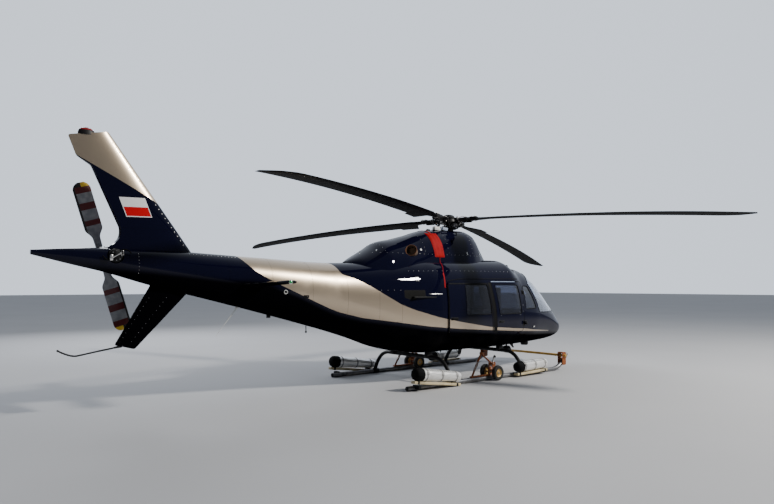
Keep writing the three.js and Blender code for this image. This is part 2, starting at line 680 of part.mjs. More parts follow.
for (const side of SIDES) {
  let skid = skidTube(side, SKID_RADIUS);
  for (const bag of FLOATS) {
    const plankTop = -(bag.aft + bag.fore) / 2 - PLANK.gap;
    const plank = block(
      [-bag.length / 2, bag.length / 2],
      [-PLANK.half, PLANK.half],
      [plankTop - PLANK.depth, plankTop],
    );
    skid = skid.add(atBag(plank, bag, side).subtract(floatBag(bag, side, FIT_GAP)));
    for (const x of bag.brackets) {
      const low = block([x - 22, x + 22], sideRange(side, SKID_Y - 10, FLOAT_Y + 30), [30, bag.z]);
      skid = skid.add(low.subtract(floatBag(bag, side, FIT_GAP)));
    }
    piece(`float_${bag.end}_${side.name}`, floatBag(bag, side), "bag");
  }
  piece(`skid_${side.name}`, skid, "black");
}

// Ground handling gear: a wheel on each side of the skid tube, and a tow bar across the toes

const WHEEL = { x: 70, z: 142, radius: 137, half: 38, inner: 925, outer: 1225, hub: 55, axle: 14 };
const TOW_BAR = { x: 2290, z: 300, half: 1180, radius: 26 };
const CLAMP = { half: 62, length: 120, bottom: 105, top: 370 };

// Wheel profile: share of the radius, share of the half width
const WHEEL_PROFILE = [
  [WHEEL.hub / WHEEL.radius, 0.6],
  [0.62, 0.9],
  [0.9, 1],
  [1, 0.5],
];
const wheelHalf = WHEEL_PROFILE.map(([radius, width]) => [radius * WHEEL.radius, width * WHEEL.half]);
const wheelProfile = [
  [0, -WHEEL.half / 2],
  ...wheelHalf.map(([radius, width]) => [radius, -width]),
  ...[...wheelHalf].reverse(),
  [0, WHEEL.half / 2],
];
for (const side of SIDES) {
  const [inner, outer, skidLine] = [WHEEL.inner, WHEEL.outer, SKID_Y].map((y) => side.y * y);
  const wheel = turned(wheelProfile, 20);
  const pair = joined(
    wheel.translate([0, inner, 0]),
    wheel.translate([0, outer, 0]),
    rod([0, inner, 0], [0, outer, 0], WHEEL.axle),
  );
  piece(`handling_wheels_${side.name}`, pair.translate([WHEEL.x, 0, WHEEL.z]), "rubber");

  const onTube = sideRange(side, SKID_Y - 48, SKID_Y + 48);
  const carrier = joined(
    block([WHEEL.x - 55, WHEEL.x + 55], onTube, [30, 330]),
    block([WHEEL.x - 580, WHEEL.x - 30], sideRange(side, SKID_Y - 30, SKID_Y + 30), [60, 112]),
    rod([WHEEL.x - 545, skidLine, 90], [WHEEL.x - 275, skidLine, 530], 20, 8),
    rod([WHEEL.x - 290, skidLine, 500], [WHEEL.x, skidLine, 300], 18, 8),
    rod([WHEEL.x - 20, skidLine, 250], [WHEEL.x + 90, skidLine, 430], 20, 8),
  )
    .subtract(skidsClear)
    .subtract(rod([WHEEL.x, inner, WHEEL.z], [WHEEL.x, outer, WHEEL.z], WHEEL.axle + 6, 16));
  piece(`wheel_carrier_${side.name}`, carrier, "orange");
}

let towBar = rod([TOW_BAR.x, -TOW_BAR.half, TOW_BAR.z], [TOW_BAR.x, TOW_BAR.half, TOW_BAR.z], TOW_BAR.radius);
for (const side of SIDES) {
  const along = [TOW_BAR.x - CLAMP.length / 2, TOW_BAR.x + CLAMP.length / 2];
  const across = sideRange(side, SKID_Y - CLAMP.half, SKID_Y + CLAMP.half);
  towBar = towBar.add(block(along, across, [CLAMP.bottom, CLAMP.top]));
}
piece("tow_bar", towBar.subtract(skidsClear), "yellow");

export default model;
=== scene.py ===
"""The looks of a utility helicopter parked on its skids: skin, paint, glass, rotors and landing gear.

Every piece is made in metres in the airframe's own frame, whose zero is on the ground under the mast, with x
towards the nose and y to port. It is moved into the row frame when it is finished.
"""

import json
import logging
import math
from collections.abc import Callable, Iterable, Sequence
from dataclasses import dataclass, field
from enum import Enum

import bmesh
import bpy
import numpy as np
from mathutils import Matrix, Vector

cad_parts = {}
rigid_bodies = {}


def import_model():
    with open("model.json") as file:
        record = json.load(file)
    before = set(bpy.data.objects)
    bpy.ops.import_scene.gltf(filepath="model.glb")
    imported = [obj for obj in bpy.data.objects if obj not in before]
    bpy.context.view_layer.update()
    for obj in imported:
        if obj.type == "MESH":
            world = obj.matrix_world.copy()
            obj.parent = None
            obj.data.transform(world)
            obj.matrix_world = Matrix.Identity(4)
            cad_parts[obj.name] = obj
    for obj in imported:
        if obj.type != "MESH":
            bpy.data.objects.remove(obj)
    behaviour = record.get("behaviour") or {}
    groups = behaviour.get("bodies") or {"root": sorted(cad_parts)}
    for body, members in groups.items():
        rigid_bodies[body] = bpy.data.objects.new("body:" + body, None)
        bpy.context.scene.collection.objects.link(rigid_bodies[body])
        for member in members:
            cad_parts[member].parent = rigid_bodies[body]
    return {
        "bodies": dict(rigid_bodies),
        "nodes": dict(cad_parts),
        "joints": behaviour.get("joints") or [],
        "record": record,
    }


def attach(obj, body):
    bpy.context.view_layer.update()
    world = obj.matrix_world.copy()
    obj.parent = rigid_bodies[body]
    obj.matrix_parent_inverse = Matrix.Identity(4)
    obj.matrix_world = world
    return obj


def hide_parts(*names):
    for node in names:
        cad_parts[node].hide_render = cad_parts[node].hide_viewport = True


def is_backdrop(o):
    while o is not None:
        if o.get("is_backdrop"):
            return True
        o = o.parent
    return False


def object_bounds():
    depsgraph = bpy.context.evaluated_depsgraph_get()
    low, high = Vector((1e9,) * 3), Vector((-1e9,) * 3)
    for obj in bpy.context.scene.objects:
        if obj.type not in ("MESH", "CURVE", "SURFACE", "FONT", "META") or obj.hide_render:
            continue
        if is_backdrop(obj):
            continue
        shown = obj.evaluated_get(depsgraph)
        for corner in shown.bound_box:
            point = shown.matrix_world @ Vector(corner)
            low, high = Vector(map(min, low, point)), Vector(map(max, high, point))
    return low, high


LOG = logging.getLogger("helicopter")

MAST_AHEAD = 1.14  # the airframe's zero in the row frame
MM = 0.001
Point = Sequence[float]
Outline = Sequence[tuple[float, float]]

# Body sections in mm: station, top, bottom, half width, height of the greatest width, fullness
HULL_SECTIONS = (
    (-7490, 2220, 2158, 28, 2190, 2.0),
    (-7000, 2257, 2038, 92, 2150, 2.0),
    (-6600, 2273, 1945, 150, 2108, 2.0),
    (-5990, 2275, 1770, 215, 2020, 2.1),
    (-5400, 2252, 1625, 268, 1935, 2.1),
    (-4250, 2200, 1335, 368, 1765, 2.2),
    (-2950, 2150, 985, 520, 1560, 2.4),
    (-2400, 2170, 820, 615, 1450, 2.6),
    (-1800, 2220, 625, 725, 1300, 2.8),
    (-1300, 2265, 530, 800, 1180, 3.0),
    (-950, 2290, 500, 835, 1120, 3.0),
    (1100, 2290, 500, 835, 1120, 3.0),
    (1500, 2168, 500, 805, 1110, 2.5),
    (1850, 2110, 500, 765, 1100, 2.3),
    (2150, 2000, 504, 700, 1080, 2.1),
    (2450, 1815, 512, 628, 1040, 1.9),
    (2720, 1588, 524, 556, 980, 1.8),
    (2960, 1358, 542, 480, 910, 1.8),
    (3180, 1150, 573, 388, 840, 1.85),
    (3370, 1000, 630, 246, 790, 1.9),
    (3470, 915, 690, 110, 785, 1.95),
    (3505, 850, 745, 35, 790, 2.0),
)

# Cowl sections in mm: station, top, half width, fullness
COWL_SECTIONS = (
    (-2560, 2185, 180, 2.1),
    (-2350, 2285, 420, 2.1),
    (-2070, 2430, 510, 2.1),
    (-1850, 2555, 545, 2.1),
    (-1518, 2622, 550, 2.2),
    (-1187, 2700, 530, 2.3),
    (-650, 2830, 500, 2.4),
    (260, 2865, 475, 2.4),
    (500, 2815, 420, 2.3),
    (690, 2615, 350, 2.2),
    (925, 2340, 265, 2.1),
    (1060, 2240, 200, 2.1),
)
COWL_BASE = 1.95

# Main blade in mm: radius, leading edge, trailing edge, thickness, pitch in degrees
BLADE_SECTIONS = (
    (620, 45, -95, 62, 10),
    (760, 60, -130, 54, 10),
    (860, 96, -345, 46, 9),
    (1230, 96, -345, 44, 8),
    (1270, 96, -280, 44, 8),
    (2700, 96, -280, 42, 5),
    (4000, 94, -280, 40, 2),
    (4850, 94, -280, 34, 1),
    (5150, 16, -280, 28, 1),
    (5415, -180, -285, 14, 1),
)

# Tail blade in mm: radius, leading edge, trailing edge, thickness
TAIL_BLADE_SECTIONS = (
    (150, 48, -48, 36),
    (285, 52, -54, 30),
    (425, 120, -124, 24),
    (985, 120, -124, 18),
    (1050, 92, -100, 14),
    (1085, 38, -52, 10),
)

# Stabiliser in mm: distance from the middle, leading edge, trailing edge, thickness
STABILISER_SECTIONS = ((250, 185, -195, 78), (1250, 172, -190, 52), (1310, 145, -184, 32))

# Outlines seen from starboard, in mm
FRONT_DOOR = ((548, 840), (1385, 840), (1385, 1800), (1370, 1830), (412, 1830), (448, 1600), (515, 1280))
FRONT_WINDOW = ((618, 1200), (1305, 1200), (1215, 1765), (520, 1765), (545, 1600), (585, 1400))
REAR_DOOR = ((-700, 840), (518, 840), (488, 1250), (422, 1600), (388, 1820), (-700, 1820))
REAR_OPENING = ((-678, 862), (440, 862), (410, 1250), (344, 1600), (315, 1798), (-678, 1798))
REAR_WINDOW = ((-250, 1215), (452, 1215), (392, 1600), (362, 1770), (-250, 1770))
QUARTER_WINDOW = ((1470, 1290), (1870, 1290), (1655, 1745), (1455, 1745))
WINDSHIELD = (
    (2030, 1200), (3100, 1195), (3650, 1700), (2500, 2500), (1975, 2500), (1940, 2030), (1730, 1800),
)
INTAKE = ((-820, 2290), (-560, 2290), (-560, 2560), (-580, 2760), (-840, 2760))
FIN_UPPER = (
    (-5380, 2150), (-5380, 2255), (-6580, 3860), (-7090, 3760), (-6980, 3490),
    (-6790, 3380), (-6400, 2560), (-6396, 2480), (-6420, 2400), (-6480, 2330), (-6560, 2290), (-6560, 2150),
)
FIN_LOWER = ((-5970, 1800), (-5970, 1760), (-6440, 950), (-6170, 880), (-5440, 1640), (-5440, 1800))

# Fin levels in mm: height, leading edge, trailing edge, thickness
FIN_UPPER_LEVELS = (
    (2100, -5260, -6700, 175), (2560, -5600, -6760, 150), (3380, -6215, -6960, 110), (3900, -6605, -7150, 80),
)
FIN_LOWER_LEVELS = ((860, -6180, -6500, 60), (1640, -5430, -6050, 110), (1820, -5260, -5990, 120))

# The warm metallic band on the body's side: its upper and lower edge, in m
BAND_TOP = (
    (-3.06, 2.4), (-3.03, 2.2), (-2.936, 1.949), (-2.683, 1.867), (-2.423, 1.741), (-2.116, 1.569),
    (-1.855, 1.43), (-1.581, 1.331), (-1.073, 1.194), (-0.561, 1.093), (0.273, 0.965), (1.086, 0.901),
    (1.536, 0.873), (1.9, 0.834), (2.64, 0.776),
)
BAND_BOTTOM = (
    (-4.72, 2.24), (-4.604, 2.104), (-4.487, 1.99), (-4.348, 1.905), (-4.038, 1.754), (-3.747, 1.627),
    (-3.421, 1.48), (-3.196, 1.385), (-3.005, 1.317), (-2.573, 1.213), (-2.109, 1.15), (-1.783, 1.104),
    (-1.262, 1.031), (-0.561, 0.963), (0.284, 0.903), (1.099, 0.848), (1.575, 0.82), (2.64, 0.766),
)

# Painted shade: above this edge the paint is navy, below it the colour is darkened to nearly black
SHADE_EDGE = ((-7.5, 2.12), (-6.0, 1.99), (-4.9, 1.88), (-4.35, 1.86), *BAND_BOTTOM[5:])


class Side(Enum):
    """Port or starboard: its name and the sign of y."""

    LEFT = ("left", 1.0)
    RIGHT = ("right", -1.0)

    @property
    def label(self) -> str:
        """The word in piece names."""
        return self.value[0]

    @property
    def sign(self) -> float:
        """The sign of y on this side."""
        return self.value[1]


class Combine(Enum):
    """How two closed forms are combined."""

    CUT = "DIFFERENCE"
    KEEP_COMMON = "INTERSECT"
    JOIN = "UNION"


class Slot(Enum):
    """The record's material slots."""

    BODY_PAINT = "body_paint"
    CABIN_GLASS = "cabin_glass"
    BLACK_METAL = "black_metal"
    BLADE_BLACK = "blade_black"
    BLADE_GREY = "blade_grey"
    BARE_STEEL = "bare_steel"
    RED_FABRIC = "red_fabric"
    FLOAT_FABRIC = "float_fabric"
    YELLOW_PAINT = "yellow_paint"
    ORANGE_PAINT = "orange_paint"
    TYRE_RUBBER = "tyre_rubber"
    RED_LENS = "red_lens"
    SEAT_LEATHER = "seat_leather"
    DARK_PLASTIC = "dark_plastic"


# Curves and outlines


class SmoothTable:
    """A smooth curve through a table's rows that never overshoots them."""

    def __init__(self, rows: Sequence[Sequence[float]], scale: Sequence[float]) -> None:
        """Reads the rows.

        Args:
            rows: Each row is a station and its values, with the stations rising.
            scale: The factor of each column, the station's first.
        """
        table = np.array(rows, float) * np.array(scale, float)
        self.at, self.values = table[:, 0], table[:, 1:]
        step = np.diff(self.at)[:, None]
        rise = np.diff(self.values, axis=0) / step
        slope = np.zeros_like(self.values)
        slope[0], slope[-1] = rise[0], rise[-1]
        same = rise[:-1] * rise[1:] > 0
        total = np.where(same, rise[:-1] + rise[1:], 1.0)
        slope[1:-1] = np.where(same, 2 * rise[:-1] * rise[1:] / total, 0.0)
        self.step, self.slope = step[:, 0], slope

    def __call__(self, station: float) -> np.ndarray:
        """The values at a station.

        Args:
            station: Where along the table.

        Returns:
            The values.
        """
        i = int(np.clip(np.searchsorted(self.at, station) - 1, 0, len(self.step) - 1))
        h = self.step[i]
        t = min(max((station - self.at[i]) / h, 0.0), 1.0)
        return (
            self.values[i] * (2 * t**3 - 3 * t**2 + 1)
            + self.slope[i] * h * (t**3 - 2 * t**2 + t)
            + self.values[i + 1] * (3 * t**2 - 2 * t**3)
            + self.slope[i + 1] * h * (t**3 - t**2)
        )


def in_metres(outline: Outline) -> list[tuple[float, float]]:
    """An outline in mm as metres."""
    return [(x * MM, z * MM) for x, z in outline]


def grown(outline: Outline, distance: float) -> list[tuple[float, float]]:
    """A counterclockwise outline moved outwards.

    Args:
        outline: Corner points.
        distance: How far every edge moves, negative for inwards.

    Returns:
        The moved corner points.
    """
    corners = [Vector(p) for p in outline]
    edges = []
    for i, corner in enumerate(corners):
        along = (corners[(i + 1) % len(corners)] - corner).normalized()
        edges.append((corner + Vector((along.y, -along.x)) * distance, along))
    moved = []
    for i, (start, along) in enumerate(edges):
        before, direction = edges[i - 1]
        between = start - before
        reach = (between.x * along.y - between.y * along.x) / (direction.x * along.y - direction.y * along.x)
        moved.append(tuple(before + direction * reach))
    return moved


def rounded(outline: Outline, radius: float, steps: int = 5) -> list[tuple[float, float]]:
    """An outline with round corners.

    Args:
        outline: Corner points.
        radius: How far from a corner its curve starts.
        steps: Pieces in each corner's curve.

    Returns:
        The points of the rounded outline.
    """
    corners = [Vector(p) for p in outline]
    points = []
    for i, corner in enumerate(corners):
        ends = []
        for other in (corners[i - 1], corners[(i + 1) % len(corners)]):
            away = other - corner
            ends.append(corner + away.normalized() * min(radius, away.length / 2.2))
        for k in range(steps + 1):
            t = k / steps
            points.append(tuple(ends[0] * (1 - t) ** 2 + corner * 2 * t * (1 - t) + ends[1] * t**2))
    return points


def along_outline(outline: Outline, spacing: float) -> list[tuple[float, float]]:
    """Evenly spaced points round a closed outline.

    Args:
        outline: Corner points.
        spacing: Distance between points.

    Returns:
        The points.
    """
    corners = [Vector(p) for p in outline]
    points = []
    for i, corner in enumerate(corners):
        following = corners[(i + 1) % len(corners)]
        count = max(1, round((following - corner).length / spacing))
        points += [tuple(corner.lerp(following, k / count)) for k in range(count)]
    return points


def bezier(points: Sequence[Point], steps: int) -> list[Vector]:
    """Points of a Bezier curve of any degree.

    Args:
        points: The control points.
        steps: Pieces of the curve.

    Returns:
        The points of the curve.
    """
    path = []
    for k in range(steps + 1):
        row = [Vector(p) for p in points]
        while len(row) > 1:
            row = [a.lerp(b, k / steps) for a, b in zip(row, row[1:], strict=False)]
        path.append(row[0])
    return path


def circle(count: int, radius: float) -> list[tuple[float, float]]:
    """Evenly spaced points round a circle about zero."""
    turns = [2 * math.pi * k / count for k in range(count)]
    return [(radius * math.cos(turn), radius * math.sin(turn)) for turn in turns]


def foil_height(share: float, thickness: float) -> float:
    """Half the thickness of a symmetric airfoil at a share of its chord."""
    s = share
    return thickness / 2 * (2.969 * math.sqrt(s) - 1.26 * s - 3.516 * s**2 + 2.843 * s**3 - 0.98 * s**4)


def foil_section(
    lead: float, trail: float, thickness: float, half_count: int = 14,
) -> list[tuple[float, float]]:
    """A symmetric airfoil's outline.

    Args:
        lead: Place of the leading edge across the blade.
        trail: Place of the trailing edge.
        thickness: Greatest thickness.
        half_count: Points on each face.

    Returns:
        Points as distance ahead and height, from the trailing edge under the blade and back over it.
    """
    chord = lead - trail

    def face(up: float) -> list[tuple[float, float]]:
        """One face from the leading to the trailing edge.

        Args:
            up: 1 for the upper face, -1 for the lower.

        Returns:
            Its points.
        """
        points = []
        for k in range(half_count):
            s = (1 - math.cos(math.pi * k / (half_count - 1))) / 2
            points.append((lead - s * chord, up * max(foil_height(s, thickness), 0.0008 if k else 0.0)))
        return points

    under, over = face(-1), face(1)
    return [*reversed(under), *over[1:]]


# Mesh building


def once(items: Iterable[object]) -> list:
    """The items without repeats, in their order."""
    return list(dict.fromkeys(items))


class Form:
    """A mesh in the making, in the airframe's frame."""

    def __init__(self) -> None:
        """Starts empty."""
        self.bm = bmesh.new()
        self._find_layer()

    def _find_layer(self) -> None:
        """Looks up or makes the layer with each vertex's place in its ring."""
        layers = self.bm.verts.layers.int
        self.ring_place = layers.get("ring_place") or layers.new("ring_place")

    def _bevel(self, edges: list[bmesh.types.BMEdge], width: float, segments: int = 2) -> None:
        """Rounds some edges.

        Args:
            edges: The edges.
            width: Width of the bevels.
            segments: Faces across the bevel.
        """
        bmesh.ops.bevel(
            self.bm, geom=edges, offset=width, segments=segments, profile=0.5, affect="EDGES",
            clamp_overlap=True, material=-1,
        )

    def _close(self, before: int, finish: int) -> "Form":
        """Gives the faces past the earlier number a finish, and turns them outwards.

        Args:
            before: How many faces there were before.
            finish: Index of the finish.

        Returns:
            This form.
        """
        faces = list(self.bm.faces)[before:]
        for f in faces:
            f.material_index = finish
        bmesh.ops.recalc_face_normals(self.bm, faces=faces)
        return self

    def _new(self, verts: Iterable[bmesh.types.BMVert], finish: int) -> list[bmesh.types.BMFace]:
        """Gives the faces round some new vertices a finish, and returns them.

        Args:
            verts: The new vertices.
            finish: Index of the finish.

        Returns:
            The faces.
        """
        faces = once(f for v in verts for f in v.link_faces)
        for f in faces:
            f.material_index = finish
        return faces

    def box(
        self, low: Point, high: Point, bevel: float = 0.003, turn: Matrix | None = None, finish: int = 0,
    ) -> "Form":
        """Adds a box with softened edges.

        Args:
            low: One corner.
            high: The corner across from it.
            bevel: Width of the softened edges.
            turn: How the box is turned about its own centre.
            finish: Index of its finish.

        Returns:
            This form.
        """
        low, high = Vector(map(min, low, high)), Vector(map(max, low, high))
        size = high - low
        place = Matrix.Translation((low + high) / 2) @ (turn or Matrix.Identity(4))
        verts = bmesh.ops.create_cube(self.bm, size=1, matrix=place @ Matrix.Diagonal((*size, 1)))["verts"]
        self._new(verts, finish)
        if bevel > 0:
            self._bevel(once(e for v in verts for e in v.link_edges), min(bevel, min(size) * 0.45))
        return self

    def rod(
        self, start: Point, end: Point, radius: float, end_radius: float | None = None,
        sides: int = 20, bevel: float = 0.0, finish: int = 0,
    ) -> "Form":
        """Adds a round bar between two points.

        Args:
            start: One end.
            end: The other end.
            radius: Radius at the start.
            end_radius: Radius at the end, if it differs.
            sides: Faces round it.
            bevel: Width of its softened rims.
            finish: Index of its finish.

        Returns:
            This form.
        """
        along = Vector(end) - Vector(start)
        turn = Vector((0, 0, 1)).rotation_difference(along).to_matrix().to_4x4()
        place = Matrix.Translation((Vector(start) + Vector(end)) / 2) @ turn
        second = radius if end_radius is None else end_radius
        verts = bmesh.ops.create_cone(
            self.bm, cap_ends=True, cap_tris=False, segments=sides, radius1=radius, radius2=second,
            depth=along.length, matrix=place,
        )["verts"]
        self._new(verts, finish)
        if bevel > 0:
            near = once(e for v in verts for e in v.link_edges)
            self._bevel([e for e in near if any(len(f.verts) > 4 for f in e.link_faces)], bevel)
        return self

    def ball(
        self, centre: Point, radius: Point, sides: int = 16, turn: Matrix | None = None, finish: int = 0,
    ) -> "Form":
        """Adds a ball, stretched to three radii.

        Args:
            centre: Its middle.
            radius: Its three radii.
            sides: Faces round it.
            turn: How it is turned about its middle.
            finish: Index of its finish.

        Returns:
            This form.
        """
        place = Matrix.Translation(centre) @ (turn or Matrix.Identity(4)) @ Matrix.Diagonal((*radius, 1))
        made = bmesh.ops.create_uvsphere(
            self.bm, u_segments=sides, v_segments=sides // 2, radius=1, matrix=place,
        )
        self._new(made["verts"], finish)
        return self

    def stud(
        self, point: Point, normal: Point, radius: float = 0.005, height: float = 0.003, finish: int = 0,
    ) -> "Form":
        """Adds a rivet or screw head on a surface.

        Args:
            point: Where it sits.
            normal: The surface's direction.
            radius: Radius at the foot.
            height: Its height.
            finish: Index of its finish.

        Returns:
            This form.
        """
        way = Vector(normal)
        start = Vector(point) - way * height * 0.3
        return self.rod(start, start + way * height, radius, radius * 0.6, 6, finish=finish)

    def swell(self, voxel: float, cap: float, held: Callable[[Vector], bool] = lambda point: False) -> "Form":
        """Lets a closed form swell as padded cloth under inner pressure.

        Args:
            voxel: Size of the cloth's cells.
            cap: The farthest that a point may move.
            held: Says whether a strap or a seam holds a point.

        Returns:
            This form.
        """
        mesh = bpy.data.meshes.new("cloth")
        self.bm.to_mesh(mesh)
        piece = bpy.data.objects.new("cloth", mesh)
        scene = bpy.context.scene
        scene.collection.objects.link(piece)
        remesh = piece.modifiers.new("remesh", "REMESH")
        remesh.mode, remesh.voxel_size = "VOXEL", voxel
        start = bpy.data.meshes.new_from_object(piece.evaluated_get(bpy.context.evaluated_depsgraph_get()))
        piece.modifiers.clear()
        piece.data = start
        group = piece.vertex_groups.new(name="held")
        group.add([v.index for v in start.vertices if held(v.co)], 1.0, "REPLACE")
        cloth = piece.modifiers.new("cloth", "CLOTH")
        cloth.settings.use_pressure = True
        cloth.settings.uniform_pressure_force = 4.0
        cloth.settings.vertex_group_mass = group.name
        cloth.settings.effector_weights.gravity = 0.0
        for frame in range(1, 21):
            scene.frame_set(frame)
        end = bpy.data.meshes.new_from_object(piece.evaluated_get(bpy.context.evaluated_depsgraph_get()))
        self.bm.clear()
        self.bm.from_mesh(end)
        self._find_layer()
        for v, old in zip(self.bm.verts, [v.co.copy() for v in start.vertices], strict=True):
            move = v.co - old
            v.co = old + move * min(1.0, cap / max(move.length, 1e-9))
        bpy.data.objects.remove(piece)
        scene.frame_set(1)
        return self

    def studs(
        self, places: Iterable[tuple[Vector, Vector]], radius: float = 0.005, height: float = 0.003,
        finish: int = 0,
    ) -> "Form":
        """Adds a rivet or screw head at each point and direction.

        Args:
            places: Points of the surface with its direction there.
            radius: Radius of each at the foot.
            height: Height of each.
            finish: Index of their finish.

        Returns:
            This form.
        """
        for point, normal in places:
            self.stud(point, normal, radius, height, finish)
        return self

    def plate(
        self, point: Point, normal: Point, along: Point, size: Point, bevel: float = 0.0015, finish: int = 0,
    ) -> "Form":
        """Adds a flat plate that lies on a surface.

        Args:
            point: Where the middle of its underside lies.
            normal: The surface's direction.
            along: The way that its length runs.
            size: Its length, width and thickness.
            bevel: Width of its softened edges.
            finish: Index of its finish.

        Returns:
            This form.
        """
        up = Vector(normal).normalized()
        way = (Vector(along) - up * up.dot(Vector(along))).normalized()
        turn = Matrix((way, up.cross(way), up)).transposed().to_4x4()
        middle, half = Vector(point) + up * size[2] / 2, Vector(size) / 2
        return self.box(middle - half, middle + half, bevel, turn, finish)

    def ring(self, centre: Point, axis: Point, radius: float, thick: float, finish: int = 0) -> "Form":
        """Adds a round ring.

        Args:
            centre: Its middle.
            axis: Its direction.
            radius: Radius of its middle line.
            thick: Radius of its own section.
            finish: Index of its finish.

        Returns:
            This form.
        """
        turns = [2 * math.pi * k / 8 for k in range(9)]
        profile = [(radius + thick * math.cos(turn), thick * math.sin(turn)) for turn in turns]
        return self.lathe(profile, centre, axis, 28, finish)

    def strip(
        self, path: Sequence[Point], normals: Sequence[Point], width: float, thick: float, finish: int = 0,
    ) -> "Form":
        """Adds a flat strip that lies along a path on a surface.

        Args:
            path: The points of its middle line.
            normals: The surface's direction at each point.
            width: Width of the strip.
            thick: Its thickness.
            finish: Index of its finish.

        Returns:
            This form.
        """
        points = [Vector(p) for p in path]
        rings = []
        for i, (point, normal) in enumerate(zip(points, normals, strict=True)):
            way = points[min(i + 1, len(points) - 1)] - points[max(i - 1, 0)]
            up = Vector(normal).normalized()
            across = way.cross(up).normalized() * width / 2
            edge = across * 0.8
            rings.append([
                point - across, point - edge + up * thick, point + edge + up * thick, point + across,
            ])
        return self.loft(rings, finish=finish)

    def lathe(
        self, profile: Sequence[tuple[float, float]], start: Point, axis: Point, steps: int = 32,
        finish: int = 0,
    ) -> "Form":
        """Adds a solid of revolution.

        Args:
            profile: Radius and distance along the axis of each point.
            start: The axis's zero.
            axis: Its direction.
            steps: Faces round it.
            finish: Index of its finish.

        Returns:
            This form.
        """
        turn = Vector((0, 0, 1)).rotation_difference(Vector(axis)).to_matrix().to_4x4()
        place = Matrix.Translation(start) @ turn
        verts = [self.bm.verts.new(place @ Vector((r, 0, h))) for r, h in profile]
        edges = [self.bm.edges.new(pair) for pair in zip(verts, verts[1:], strict=False)]
        before = len(self.bm.faces)
        bmesh.ops.spin(
            self.bm, geom=[*verts, *edges], cent=Vector(start), axis=Vector(axis).normalized(),
            dvec=(0, 0, 0),
            angle=2 * math.pi, steps=steps, use_merge=True, use_duplicate=False,
        )
        near = once(v for f in list(self.bm.faces)[before:] for v in f.verts)
        bmesh.ops.remove_doubles(self.bm, verts=near, dist=1e-6)
        return self._close(before, finish)

    def loft(self, rings: Sequence[Sequence[Point]], closed: bool = False, finish: int = 0) -> "Form":
        """Adds a skin through rings of points.

        Args:
            rings: Rings of equally many points.
            closed: Whether the last ring joins the first, instead of both being capped.
            finish: Index of its finish.

        Returns:
            This form.
        """
        before = len(self.bm.faces)
        place = self.ring_place
        verts = bmesh.ops.create_circle(self.bm, cap_ends=False, segments=len(rings[0]), radius=1)["verts"]
        for i, v in enumerate(verts):
            v[place] = i
            v.co = rings[0][i]
        first = edges = once(e for v in verts for e in v.link_edges)
        for ring in rings[1:]:
            made = bmesh.ops.extrude_edge_only(self.bm, edges=edges)["geom"]
            edges = [g for g in made if isinstance(g, bmesh.types.BMEdge)]
            for v in (g for g in made if isinstance(g, bmesh.types.BMVert)):
                v.co = ring[v[place]]
        if closed:
            bmesh.ops.bridge_loops(self.bm, edges=[*first, *edges])
        else:
            bmesh.ops.holes_fill(self.bm, edges=first, sides=0)
            bmesh.ops.holes_fill(self.bm, edges=edges, sides=0)
        return self._close(before, finish)

    def pipe(
        self, path: Sequence[Point], radius: float | Sequence[float], sides: int = 12,
        flat: float = 1.0, finish: int = 0,
    ) -> "Form":
        """Adds a tube along a path.

        Args:
            path: The points it follows.
            radius: Its radius, or one at each point.
            sides: Faces round it.
            flat: How far its section is flattened in height.
            finish: Index of its finish.

        Returns:
            This form.
        """
        points = [Vector(p) for p in path]
        radii = [radius] * len(points) if isinstance(radius, (int, float)) else list(radius)
        ways = []
        for i in range(len(points)):
            ahead, behind = points[min(i + 1, len(points) - 1)], points[max(i - 1, 0)]
            ways.append((ahead - behind).normalized())
        side = ways[0].orthogonal().normalized()
        if abs(ways[0].z) < 0.9:
            side = ways[0].cross(Vector((0, 0, 1))).normalized()
        rings = []
        for point, way, reach in zip(points, ways, radii, strict=True):
            side = (side - way * side.dot(way)).normalized()
            up = side.cross(way)
            ring = []
            for k in range(sides):
                turn = 2 * math.pi * (k + 0.5) / sides
                ring.append(point + side * reach * math.cos(turn) + up * reach * flat * math.sin(turn))
            rings.append(ring)
        return self.loft(rings, finish=finish)

    def slab(self, outline: Outline, low: float, high: float, finish: int = 0) -> "Form":
        """Adds an outline in x and z as a slab between two values of y.

        Args:
            outline: Its corners as x and z.
            low: One end in y.
            high: The other end in y.
            finish: Index of its finish.

        Returns:
            This form.
        """
        low, high = sorted((low, high))
        verts = [self.bm.verts.new((x, low, z)) for x, z in outline]
        edges = [self.bm.edges.new((verts[i - 1], v)) for i, v in enumerate(verts)]
        face = bmesh.ops.contextual_create(self.bm, geom=edges)["faces"][0]
        made = bmesh.ops.extrude_face_region(self.bm, geom=[face], use_keep_orig=True)["geom"]
        far = [g for g in made if isinstance(g, bmesh.types.BMVert)]
        bmesh.ops.translate(self.bm, vec=(0, high - low, 0), verts=far)
        faces = self._new([*verts, *far], finish)
        bmesh.ops.recalc_face_normals(self.bm, faces=faces)
        return self

    def add(self, other: "Form", place: Matrix | None = None) -> "Form":
        """Adds a copy of another form, moved by a matrix.

        Args:
            other: The other form.
            place: The matrix that moves it.

        Returns:
            This form.
        """
        mesh = bpy.data.meshes.new("copy")
        other.bm.to_mesh(mesh)
        if place is not None:
            mesh.transform(place)
            if place.determinant() < 0:
                mesh.flip_normals()
        self.bm.from_mesh(mesh)
        bpy.data.meshes.remove(mesh)
        self._find_layer()
        return self

    def mirrored(self) -> "Form":
        """A copy on the other side of the middle plane."""
        return Form().add(self, Matrix.Diagonal((1, -1, 1, 1)))

    def copy(self) -> "Form":
        """A copy of this form."""
        return Form().add(self)

    def move(self, place: Matrix) -> "Form":
        """Moves the whole form by a matrix."""
        bmesh.ops.transform(self.bm, matrix=place, verts=self.bm.verts)
        return self

